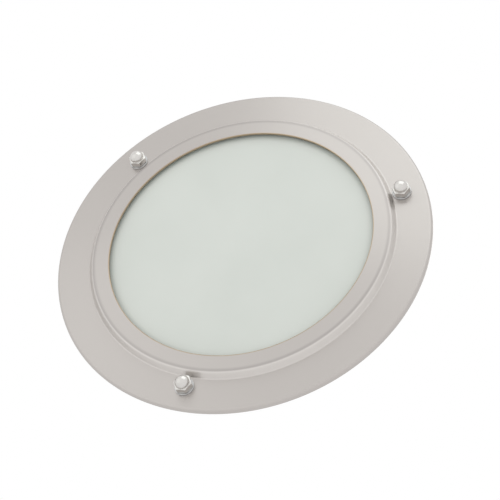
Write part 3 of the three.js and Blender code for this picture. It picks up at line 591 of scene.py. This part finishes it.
def bent_strap():
    """A strap of sheet, drawn from the side and pulled to its width."""
    strap = bmesh.new()
    draw_section(strap, sheet_section(strap_face, clip_sheet, sheared), closed=True)
    bmesh.ops.translate(strap, vec=(0, -clip_width / 2 * mm, 0), verts=strap.verts[:])
    side = bmesh.ops.contextual_create(strap, geom=strap.edges[:])["faces"]
    return pulled(strap, side, (0, clip_width, 0))


strap = bent_strap()
for letter, angle in zip(letters, between):
    clip = placed(strap, turn=angle)
    finished(f"bent_clip_{letter}", clip, "trim", [f"glass_clip_{letter}"], "zinc_steel")

# %% [markdown]
# ## Cap nuts
#
# A cap nut starts as hexagon bar. The lathe chamfers both ends, which leaves the curved scallops at
# the corners, and turns the dome. So the nut is made the same way: a hexagonal prism with eased
# edges, intersected with a turned blank, joined to a dome, and bored blind from its seat.

# %% Make one cap nut
nut_flats = 10
hex_height = 4.2
nut_height = 8
dome_radius = 4.4
nut_bore = 3.3
bore_mouth = 3.9
bore_depth = 6
nut_turn = radians(-6)


def corner_radius(across_flats):
    """How far a hexagon's corners are from its middle."""
    return across_flats / 2 / cos(pi / 6)


def hex_bar(across_flats, low, high, eased):
    """A hexagonal prism with its six long edges eased."""
    corner = corner_radius(across_flats)
    bar = bmesh.new()
    bmesh.ops.create_cone(bar, cap_ends=True, segments=6, radius1=corner * mm,
                          radius2=corner * mm, depth=(high - low) * mm)
    bmesh.ops.translate(bar, vec=(0, 0, (low + high) / 2 * mm), verts=bar.verts[:])
    upright = [edge for edge in bar.edges if abs(edge.verts[0].co.z - edge.verts[1].co.z) > mm]
    bmesh.ops.bevel(bar, geom=upright, offset=eased * mm, offset_type="OFFSET", segments=3,
                    profile=0.5, affect="EDGES", material=-1)
    return bar


def cap_nut():
    """The nut with its seat at height 0 and its dome below."""
    corner = corner_radius(nut_flats)
    chamfer = 0.55
    blank = turned([
        (0, 0),
        (corner - 1, 0, 0.2),
        (corner, -chamfer, 0.3),
        (corner, chamfer - hex_height, 0.3),
        (corner - 1, -hex_height, 0.2),
        (0, -hex_height),
    ], steps=72, closed=False)
    body = combined(hex_bar(nut_flats, -hex_height - overrun, overrun, 0.18), blank, "INTERSECT")
    root = -hex_height + 0.5
    neck = -hex_height - 0.25
    arc = [radians(angle) for angle in range(0, 90, 6)]
    dome = [(dome_radius * cos(angle), neck - (nut_height + neck) * sin(angle)) for angle in arc]
    cap = turned([(0, root), (dome_radius, root), *dome, (0, -nut_height)], 48, closed=False)
    whole = combined(body, cap, "UNION")
    bore = turned([
        (0, overrun),
        (bore_mouth, overrun),
        (bore_mouth, 0),
        (nut_bore, nut_bore - bore_mouth),
        (nut_bore, -bore_depth),
        (0, -bore_depth - 1),
    ], 32, closed=False)
    return combined(whole, bore, "DIFFERENCE")


nut = cap_nut()
nut_seat = heights("cap_nut_a")[1]
nut_spots = [(nut_circle * cos(angle), nut_circle * sin(angle)) for angle in thirds]
for letter, (x, y) in zip(letters, nut_spots):
    shape = placed(nut, x, y, nut_seat, nut_turn)
    finished(f"domed_nut_{letter}", shape, f"nut_{letter}", [f"cap_nut_{letter}"], "polished_steel")

# %% [markdown]
# ## Washers and studs
#
# Each nut pulls down on a plain washer with its punched edges slightly rolled. The stud under it
# has a flat head let into the flange and a rolled thread. The thread is a real helix: a small
# four-sided ridge spun round the axis while it moves down one pitch a turn, on a thinner core.

# %% Punch the washers
washer_low, washer_high = heights("nut_washer_a")
washer_inner = 3.3
washer_outer = 6
rolled = (0.12, 0.25, 0.12, 0.12)
washer = plain_ring(washer_inner, washer_outer, washer_low, washer_high, rolled, steps=64)
for letter, (x, y) in zip(letters, nut_spots):
    shape = placed(washer, x, y)
    finished(f"punched_washer_{letter}", shape, f"washer_{letter}", [f"nut_washer_{letter}"],
             "zinc_steel")


# %% Roll the studs' threads
def helix(start, turns, pitch, root, crest, steps=24):
    """A thread ridge that runs down from a height."""
    half = pitch * 0.44
    flat = pitch * 0.07
    ridge = bmesh.new()
    rows = [(root, half), (crest, flat), (crest, -flat), (root, -half)]
    points = [ridge.verts.new((row[0] * mm, 0, (start + row[1]) * mm)) for row in rows]
    for near, far in zip(points, points[1:] + points[:1]):
        ridge.edges.new((near, far))
    bmesh.ops.spin(ridge, geom=ridge.verts[:] + ridge.edges[:], cent=(0, 0, 0), axis=(0, 0, 1),
                   dvec=(0, 0, -pitch / steps * mm), angle=2 * pi * turns, steps=steps * turns)
    bmesh.ops.holes_fill(ridge, edges=ridge.edges[:], sides=4)
    bmesh.ops.recalc_face_normals(ridge, faces=ridge.faces[:])
    return ridge


stud_low, stud_high = heights("stud_a")
stud_radius = 3
stud_core = 2.45
thread_back = -6.7
head_radius = 4.5
head_low = stud_high - 1
stud = gathered([
    turned([
        (0, stud_low),
        (stud_core, stud_low, 0.5),
        (stud_core, thread_back - 0.5),
        (stud_radius, thread_back),
        (stud_radius, head_low, 0.1),
        (head_radius, head_low, 0.15),
        (head_radius, stud_high, 0.15),
        (0, stud_high),
    ], steps=32, closed=False),
    helix(start=-7.4, turns=7, pitch=1.0, root=stud_core - 0.08, crest=stud_radius - 0.03),
])
for letter, (x, y) in zip(letters, nut_spots):
    finished(f"rolled_stud_{letter}", placed(stud, x, y), "housing", [f"stud_{letter}"], "zinc_steel")

# %% [markdown]
# ## Gaskets behind the ring
#
# A foam gasket seals the flange against the soffit, with slots where the fixing screws pass, the
# same as in the can's flange. A solid rubber band seals the trim ring against the flange, outside
# the studs.

# %% Cut the gaskets
slot_circle = 103.5
slot_length = 10
slot_width = 5
gasket_rim = 113.5
foam_inner = 98.8
band_inner = 109.5


def fixing_slots(low, high):
    """Three slots round the flange, rounded at their ends."""
    end = slot_width / 2
    straight = slot_length / 2 - end
    steps = 16
    arc = [radians(index * 180 / steps) for index in range(steps + 1)]
    outline = [(side * end * cos(angle), side * (straight + end * sin(angle)))
               for side in (1, -1) for angle in arc]
    slot = bmesh.new()
    face = slot.faces.new([slot.verts.new((x * mm, y * mm, low * mm)) for x, y in outline])
    return all_round(pulled(slot, [face], (0, 0, high - low)), slot_circle, between)


foam_low, foam_high = heights("soffit_gasket")
foam = plain_ring(foam_inner, gasket_rim, foam_low, foam_high, (0.3, 0.4, 0.5, 0.4), steps=144)
foam = combined(foam, fixing_slots(foam_low - overrun, foam_high + overrun), "DIFFERENCE")
finished("foam_soffit_gasket", foam, "housing", ["soffit_gasket"], "black_rubber")

band_low, band_high = heights("trim_seal")
band = plain_ring(band_inner, gasket_rim, band_low, band_high, (0.8, 0.8, 0.2, 0.2), steps=144)
finished("rubber_trim_seal", band, "housing", ["trim_seal"], "black_rubber")

# %% [markdown]
# ## The cast can
#
# The can is one casting, and three things make it look cast: rounded corners everywhere, draft on
# the fins so that they leave the mould, and a flare where a fin meets the wall. The wall is one
# turned section, inside and out. A fin is lofted: a few cross-sections are drawn along its foot,
# each wide at the root and narrow at the tip, and bridged one to the next.

# %% Turn the can's wall
fin_top = heights("housing_can")[1]
top = 50.7
top_inner = 47.7
crown_radius = 73
crown_inner = 71.5
slope_foot = 42.7
slope_inner = 41.2
wall_radius = 85
wall_inner = 82
ledge = 23.25
skirt_top = 26.25
skirt_radius = 88
skirt_inner = 85
register_radius = 98.5
register_top = 1.55
flange_radius = 116
rebate_radius = 96
rebate_floor = -1.45
can_steps = 144
can_section = [
    (0, top),
    (crown_radius, top, 2.5),
    (wall_radius, slope_foot, 2.5),
    (wall_radius, skirt_top, 2),
    (skirt_radius, ledge, 1.5),
    (skirt_radius, register_top, 1.5),
    (register_radius, register_top, 1.5),
    (register_radius, flange_back, 0.25),
    (flange_radius, flange_back, 0.5),
    (flange_radius, flange_front, 1.2),
    (rebate_radius, flange_front, 0.5),
    (rebate_radius, rebate_floor, 0.5),
    (skirt_inner, rebate_floor, 0.8),
    (skirt_inner, ledge),
    (wall_inner, ledge, 0.4),
    (wall_inner, slope_inner, 1.5),
    (crown_inner, top_inner, 1.5),
    (0, top_inner),
]
can = turned(can_section, steps=can_steps, closed=False)
print("can's wall:", len(can.faces), "faces")


# %% Loft one fin
def cross_section(shape, root, tip, widths):
    """One slice through a fin, from its root to its tip, as a closed loop of edges."""
    rows = [(root + (tip - root) * share, half) for share, half in widths]
    side = [(spot, half) for spot, half in rows] + [(spot, -half) for spot, half in reversed(rows)]
    points = [shape.verts.new((spot.x * mm, half * mm, spot.y * mm)) for spot, half in side]
    return [shape.edges.new(pair) for pair in zip(points, points[1:] + points[:1])]


def cast_fin():
    """A drafted fin down the can, flared by rows of (share of its height, half its width)."""
    flared = [(0, 2.3), (0.08, 2.2), (0.16, 1.55), (0.3, 1.3), (0.85, 1.0), (0.96, 0.85), (1, 0.45)]
    sunk = top - 0.5
    stations = [
        ((26.0, sunk), (26.6, top + 1.2)),
        ((26.3, sunk), (26.9, fin_top - 1.2)),
        ((27.4, sunk), (28.0, fin_top)),
        ((50.0, sunk), (50.0, fin_top)),
        ((71.8, sunk), (72.0, fin_top)),
        ((74.2, top - 2.0), (74.4, fin_top - 1.9)),
        ((79.5, 45.0), (80.6, 50.8)),
        ((83.6, 41.8), (86.1, 43.6)),
        ((83.8, 40.0), (86.5, 40.5)),
        ((83.8, 27.6), (86.5, 26.6)),
        ((83.8, 26.6), (85.6, 25.0)),
    ]
    fin = bmesh.new()
    loops = [cross_section(fin, Vector(root), Vector(tip), flared) for root, tip in stations]
    for near, far in zip(loops, loops[1:]):
        bmesh.ops.bridge_loops(fin, edges=near + far)
    for loop in (loops[0], loops[-1]):
        bmesh.ops.contextual_create(fin, geom=loop)
    bmesh.ops.recalc_face_normals(fin, faces=fin.faces[:])
    return fin


fin_count = 24
fin_pitch = 2 * pi / fin_count
gland_angle = 1.5 * pi
fin_angles = [(index + 0.5) * fin_pitch for index in range(fin_count)]
fin_angles = [angle for angle in fin_angles if abs(angle - gland_angle) > fin_pitch]
fin = cast_fin()
print(len(fin_angles), "fins of", len(fin.faces), "faces")

# %% [markdown]
# The gland stands on a round pad with a fillet at its foot, and three bosses inside the wall take
# the gear plate's screws. Everything is joined into one casting, and then the holes are drilled:
# the gland's, the studs' with their recesses, the bosses' and the three fixing slots.

# %% Join and drill the casting
gland_y = -52
pad_top = 52.7
pad_radius = 16
pad_foot = 18.2
pad = turned([
    (0, pad_top),
    (pad_radius, pad_top, 0.8),
    (pad_radius, top - 0.1, 1.4),
    (pad_foot, top - 0.1),
    (pad_foot, top - 1),
    (0, top - 1),
], steps=64, closed=False)
boss_circle = 78.5
boss_angles = [angle + pi / 2 for angle in thirds]
boss_radius = 5
boss_top = 43.2
boss = disc(boss_radius, ledge, boss_top)
gland_bore = 10.3
boss_bore = 2.3
boss_bore_depth = 9
stud_bore = 3.3
head_bore = 4.8
head_bore_depth = 1.1
extras = gathered([
    all_round(fin, 0, fin_angles),
    placed(pad, y=gland_y),
    all_round(boss, boss_circle, boss_angles),
])
can = combined(can, extras, "UNION")
drills = gathered([
    placed(disc(gland_bore, top_inner - 2 * overrun, pad_top + 2 * overrun, 48), y=gland_y),
    all_round(disc(boss_bore, ledge - 2 * overrun, ledge + boss_bore_depth), boss_circle, boss_angles),
    all_round(disc(stud_bore, flange_front - 2 * overrun, flange_back - 0.5), nut_circle, thirds),
    all_round(disc(head_bore, flange_back - head_bore_depth, flange_back + 2 * overrun), nut_circle,
              thirds),
    fixing_slots(flange_front - 2 * overrun, flange_back + 2 * overrun),
])
can = combined(can, drills, "DIFFERENCE")
finished("finned_can", can, "housing", ["housing_can"], "cast_aluminium")

# %% [markdown]
# ## Reflector, light board and grommet
#
# Behind the glass a spun white bowl throws the light down. It is bent sheet again. The light board
# is a white disc with square lamps, each with a round dot of yellow phosphor, and its plug. They
# show when the ring is down.

# %% Spin the reflector
bowl_low, bowl_high = heights("reflector")
bowl_sheet = 1
bowl_inner = 50.2
bowl_bend = 61.2
bowl_mouth = 83.1
bowl_outer = 84.7
bowl_face = [
    (bowl_inner, bowl_high - bowl_sheet, sheared),
    (bowl_bend, bowl_high - bowl_sheet, 2),
    (bowl_mouth, bowl_low, 3),
    (bowl_outer, bowl_low, sheared),
]
small_hole = 1.8
reflector_screws = 55.7
bowl = turned(sheet_section(bowl_face, bowl_sheet, sheared), steps=120)
bowl_hole = disc(small_hole, bowl_high - 3 * overrun, bowl_high + overrun, 24)
bowl_holes = all_round(bowl_hole, reflector_screws, thirds)
bowl = combined(bowl, bowl_holes, "DIFFERENCE")
finished("spun_reflector", bowl, "housing", ["reflector"], "white_paint")


# %% Fill the light board
def block(length, width, height, x, y, low, eased):
    """A block with eased edges, in millimetres."""
    cube = bmesh.new()
    bmesh.ops.create_cube(cube, size=mm)
    bmesh.ops.scale(cube, vec=(length, width, height), verts=cube.verts[:])
    bmesh.ops.translate(cube, vec=(x * mm, y * mm, (low + height / 2) * mm), verts=cube.verts[:])
    bmesh.ops.bevel(cube, geom=cube.edges[:], offset=eased * mm, offset_type="OFFSET", segments=2,
                    profile=0.5, affect="EDGES", material=-1)
    return cube


board_radius = 41
board_low = 19.55
board_high = heights("light_board")[1]
board_screws = 36.7
board = disc(board_radius, board_low, board_high, 96, 0.15)
board_hole = disc(small_hole, board_low - overrun, board_high + overrun, 24)
board_holes = all_round(board_hole, board_screws, between)
board = combined(board, board_holes, "DIFFERENCE")
lamp_side = 3.2
dot_radius = 1.25
dot_front = board_low - 0.95
dot_back = board_low - 0.5
lamp_case = block(lamp_side, lamp_side, 1, 0, 0, board_low - 0.9, 0.15)
dot = turned([(0, dot_front), (dot_radius, dot_front, 0.1), (dot_radius, dot_back), (0, dot_back)],
             16, closed=False)
for face in dot.faces:
    face.material_index = 1
lamp = gathered([lamp_case, dot])
lamp_rings = [(board_radius * 0.24, 4), (board_radius * 0.61, 10)]
lamps = [all_round(lamp, reach, [(spot + 0.5) * 2 * pi / count for spot in range(count)])
         for reach, count in lamp_rings]
plug = block(length=7, width=6, height=3.1, x=board_radius - 3.55, y=0, low=board_low - 3, eased=0.3)
board = gathered([board, plug, *lamps])
finished("lamp_board", board, "housing", ["light_board"], ("white_board", "phosphor"))

# %% Mould the grommet
grommet_low, grommet_high = heights("lead_grommet")
grommet_x = 45.6
grommet_lip = 0.95
grommet_inner = 2.5
grommet_waist = 3.2
grommet_outer = 4.3
grommet = turned([
    (grommet_inner, grommet_low, 0.3),
    (grommet_outer, grommet_low, 0.4),
    (grommet_outer, grommet_low + grommet_lip, 0.1),
    (grommet_waist, grommet_low + grommet_lip),
    (grommet_waist, grommet_high - grommet_lip),
    (grommet_outer, grommet_high - grommet_lip, 0.1),
    (grommet_outer, grommet_high, 0.4),
    (grommet_inner, grommet_high, 0.3),
], steps=32)
grommet = placed(grommet, x=grommet_x)
finished("rubber_grommet", grommet, "housing", ["lead_grommet"], "black_rubber")

# %% [markdown]
# ## Screws
#
# The gear is held by pan head screws with a cross recess. One function turns the head and shank and
# cuts the recess with two crossed bars. A row for each screw then gives its node, its size and which
# way its head looks. Its length and its spot come from the CAD node's own box.

# %% Make and place the screws
screw_sizes = {"small": (1.5, 2.8, 1.9), "plate": (2.0, 3.8, 2.6)}
screw_turn = 0.7


def pan_screw(size, length):
    """A screw whose head hangs below height 0 and whose shank points up."""
    shank, head, head_height = screw_sizes[size]
    blank = turned([
        (0, -head_height),
        (head * 0.92, -head_height, head_height * 0.6),
        (head, 0, 0.1),
        (shank, 0),
        (shank, length, 0.3),
        (0, length),
    ], steps=40, closed=False)
    span = head * 1.15
    slit = 0.55
    depth = head_height * 0.6
    cross = combined(block(span, slit, depth, 0, 0, -head_height - 0.3, 0.05),
                     block(slit, span, depth, 0, 0, -head_height - 0.31, 0.05), "UNION")
    return combined(blank, cross, "DIFFERENCE")


screw_rows = [(f"{kind}_screw_{letter}", "plate" if kind == "plate" else "small", False)
              for kind in ("plate", "board", "reflector") for letter in letters]
screw_rows += [(name, "small", True) for name in
               ("driver_screw_a", "driver_screw_b", "terminal_screw_a", "terminal_screw_b",
                "earth_screw")]
for number, (node, size, head_up) in enumerate(screw_rows):
    low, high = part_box(node)
    length = (high.z - low.z) / mm - screw_sizes[size][2]
    seat_height = low.z / mm + length if head_up else high.z / mm - length
    centre = (low + high) / 2 / mm
    turn = number * screw_turn
    shape = placed(pan_screw(size, length), centre.x, centre.y, seat_height, turn, head_up)
    finished(f"pan_{node}", shape, "housing", [node], "zinc_steel")

# %% [markdown]
# ## Cable gland
#
# The gland is moulded nylon: a hexagon with a turned chamfer on a threaded barrel, a ribbed cap that
# squeezes a rubber seal round the cable, and a rubber washer against the pad. The cap and the seal
# move, so each is a piece of its own. The collar's coarse thread shows when the cap is up. It comes
# from the same function as the studs' threads.

# %% Mould the gland's body and washer
hex_low = 54.25
hex_high = 60.25
collar_top = 68.25
gland_flats = 24
gland_corner = corner_radius(gland_flats)
gland_blank = turned([
    (0, hex_low),
    (gland_corner - 0.8, hex_low, 0.3),
    (gland_corner, hex_low + 0.7, 0.4),
    (gland_corner, hex_high - 0.7, 0.4),
    (gland_corner - 0.8, hex_high, 0.3),
    (0, hex_high),
], steps=96, closed=False)
gland_bar = hex_bar(gland_flats, hex_low - overrun, hex_high + overrun, 0.5)
gland_hex = combined(gland_bar, gland_blank, "INTERSECT")
hex_hole = disc(9.1, hex_low - 2 * overrun, hex_high + 2 * overrun, 48)
gland_hex = combined(gland_hex, hex_hole, "DIFFERENCE")
gland_low = heights("gland_body")[0]
cable_way = 5.6
barrel_radius = 10
collar_radius = 10.2
collar_inner = 8.2
collar_floor = hex_high - 2
barrel = turned([
    (cable_way, gland_low, 0.3),
    (barrel_radius, gland_low, 0.6),
    (barrel_radius, collar_floor),
    (collar_radius, collar_floor),
    (collar_radius, collar_top, 0.4),
    (collar_inner, collar_top, 0.4),
    (collar_inner, collar_floor, 0.3),
    (cable_way, collar_floor, 0.3),
], steps=64)
collar_thread = helix(start=67.1, turns=4, pitch=1.5, root=10.12, crest=10.44, steps=48)
gland = placed(gathered([combined(gland_hex, barrel, "UNION"), collar_thread]), y=gland_y)
finished("moulded_gland_body", gland, "housing", ["gland_body"], "black_nylon")

ring_low, ring_high = heights("gland_washer")
ring_washer = plain_ring(10.3, 12, ring_low, ring_high, (0.2, 0.4, 0.4, 0.2), steps=64)
finished("gland_ring", placed(ring_washer, y=gland_y), "housing", ["gland_washer"], "black_rubber")

# %% Mould the gland's seal and cap
seal_low, seal_high = heights("gland_seal")
seal_inner = 4.9
seal_outer = 7.9
seal_tip = 6.6
seal = turned([
    (seal_inner, seal_low, 0.3),
    (seal_outer, seal_low, 0.3),
    (seal_outer, collar_top, 0.5),
    (seal_tip, seal_high, 0.5),
    (seal_inner, seal_high, 0.5),
], steps=64)
finished("gland_rubber", placed(seal, y=gland_y), "seal", ["gland_seal"], "black_rubber")

cap_low, cap_high = heights("gland_cap")
cap_radius = 13.2
cap_inner = 10.5
cap_crown = 10.2
cap_wedge = 8.5
cap_mouth = 5.8
cap_slope = 6
cap_gap = 0.3
rib_count = 8
rib_height = cap_high - cap_low - cap_slope
cap = turned([
    (cap_inner, cap_low, 0.2),
    (cap_radius, cap_low, 0.5),
    (cap_radius, cap_high - cap_slope, 1.5),
    (cap_crown, cap_high, 1.6),
    (cap_mouth, cap_high, 0.5),
    (cap_mouth, seal_high + cap_gap, 0.2),
    (seal_tip + cap_gap, seal_high + cap_gap, 0.2),
    (cap_wedge, collar_top + cap_gap, 0.2),
    (cap_inner, collar_top + cap_gap, 0.2),
], steps=96)
rib = block(1.2, 2.2, rib_height, 0, 0, cap_low + 0.1, 0.4)
ribs = all_round(rib, cap_radius, [index * 2 * pi / rib_count for index in range(rib_count)])
cap = placed(combined(cap, ribs, "UNION"), y=gland_y)
finished("ribbed_gland_cap", cap, "gland_cap", ["gland_cap"], "black_nylon")

# %% [markdown]
# ## Finishes of the CAD nodes that stay
#
# The driver, the terminal block, the leads, the gear plate and the gland's lock nut are shut inside
# the can. Their CAD shapes are fine enough there, so they only get their finishes.

# %% Dress the nodes that stay
kept_rows = {
    "driver_case": "white_nylon", "terminal_block": "white_nylon", "gear_plate": "zinc_steel",
    "gland_lock_nut": "black_nylon", "lead_live": "brown_lead", "lead_neutral": "blue_lead",
    "lead_light_plus": "red_lead", "lead_light_minus": "black_lead", "lead_earth": "green_lead",
}
for node, slot in kept_rows.items():
    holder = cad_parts[node]
    holder.data.materials.clear()
    holder.data.materials.append(finishes[slot])
print(len(kept_rows), "CAD nodes dressed")

# %% [markdown]
# ## Studio
#
# The light hangs face down, so the camera looks up at it from below. The pale floor is a metre
# lower, out of this view. The sky around is white, and it lights matt things a little more than it
# shows itself. Three large soft lamps do the shaping. Two hang below the ring, each where the lean
# of the brushed grooves mirrors it into the camera, and they make the ring's two lobes. The third
# is above, for the can.

# %% Lay the floor
floor_height = -1.0
floor_reach = 6
floor_shape = bmesh.new()
bmesh.ops.create_grid(floor_shape, x_segments=1, y_segments=1, size=floor_reach)
bmesh.ops.translate(floor_shape, vec=(0, 0, floor_height), verts=floor_shape.verts[:])
floor_skin = new_mesh("studio_floor", floor_shape)
floor = new_object("studio_floor", floor_skin)
floor_paint = bpy.data.materials.new("studio_floor")
floor_paint.use_nodes = True
floor_shader = floor_paint.node_tree.nodes["Principled BSDF"]
set_finish(floor_shader, Base_Color=(0.90, 0.90, 0.895), Roughness=0.9)
floor_skin.materials.append(floor_paint)
print("floor at", floor_height, "m")

# %% Fill the sky
sky = bpy.data.worlds.new("studio_sky")
sky.use_nodes = True
bpy.context.scene.world = sky
tree = sky.node_tree
tree.nodes.clear()
start = Wire(tree)
direct = start.node("ShaderNodeLightPath", output="Is Camera Ray")
mirrored = start.node("ShaderNodeLightPath", output="Is Glossy Ray")
through = start.node("ShaderNodeLightPath", output="Is Transmission Ray")
sky_light = start.node("ShaderNodeBackground", inputs={"Color": (1, 1, 1, 1), "Strength": 1.1})
sky_white = start.node("ShaderNodeBackground", inputs={"Color": (1, 1, 1, 1), "Strength": 1.0})
seen = start.maths("MINIMUM", direct + mirrored + through, 1.0)
both = start.node("ShaderNodeMixShader", inputs={0: seen, 1: sky_light, 2: sky_white})
start.node("ShaderNodeOutputWorld", inputs={"Surface": both})
print("sky:", len(tree.nodes), "nodes")

# %% [markdown]
# The camera stands where the photograph's stood. Its place is given by three angles and a distance:
# how high it looks up, how far it is turned about the light's axis, its own roll, and the distance
# to the ring's face. The lens is as long as the ring's size in the picture asks for.

# %% Set the camera
target = Vector((0, 0, trim_front * mm))
look_up = radians(51.18)
camera_turn = radians(-6.9)
camera_roll = radians(22.773)
camera_distance = 0.9342
back = Vector((0, cos(look_up), -sin(look_up)))
level_up = Vector((0, -sin(look_up), -cos(look_up)))
level_right = Vector((1, 0, 0))
right = level_right * cos(camera_roll) - level_up * sin(camera_roll)
up = level_right * sin(camera_roll) + level_up * cos(camera_roll)
camera_axes = Matrix.Rotation(camera_turn, 3, "Z") @ Matrix((right, up, back)).transposed()
lens = bpy.data.cameras.new("studio_camera")
lens.lens = 108.13
lens.shift_x = 0.0195
lens.shift_y = -0.01454
camera = new_object("studio_camera", lens)
camera_place = target + camera_axes.col[2] * camera_distance
camera.matrix_world = Matrix.Translation(camera_place) @ camera_axes.to_4x4()
bpy.context.scene.camera = camera
print("camera at", [round(part, 3) for part in camera.location])


# %% Hang the lamps
def soft_lamp(name, place, size, power, colour):
    """A square lamp that looks at the light and isn't seen itself."""
    data = bpy.data.lights.new(name, "AREA")
    data.shape = "SQUARE"
    data.size = size
    data.energy = power
    data.color = colour
    lamp = new_object(name, data)
    aim = (target - Vector(place)).to_track_quat("-Z", "Y")
    lamp.matrix_world = Matrix.Translation(place) @ aim.to_matrix().to_4x4()
    lamp.visible_camera = False
    print(name, "at", [round(part, 2) for part in place])


def glint_way(angle, tilt):
    """The way from the face to a lamp that glints where the grooves' normals lean by tilt."""
    view = camera_axes.col[2]
    lean = Vector((sin(tilt) * cos(angle), sin(tilt) * sin(angle), -cos(tilt)))
    return (2 * view.dot(lean) * lean - view).normalized()


right_place = target + glint_way(angle=radians(-9), tilt=radians(21)) * 0.85
left_place = target + glint_way(angle=radians(140), tilt=radians(20))
top_place = (0.7, -0.6, 1.3)
soft_lamp("right_lamp", right_place, size=0.7, power=1.0, colour=(0.93, 1.0, 0.99))
soft_lamp("left_lamp", left_place, size=1.0, power=0.45, colour=(0.95, 1.0, 0.99))
soft_lamp("top_lamp", top_place, size=0.9, power=5.0, colour=(1.0, 0.99, 0.97))

# %% [markdown]
# ## Plain view settings
#
# The view transform is Standard, so a colour shows as it is written.

# %% Set the view
bpy.context.scene.view_settings.view_transform = "Standard"
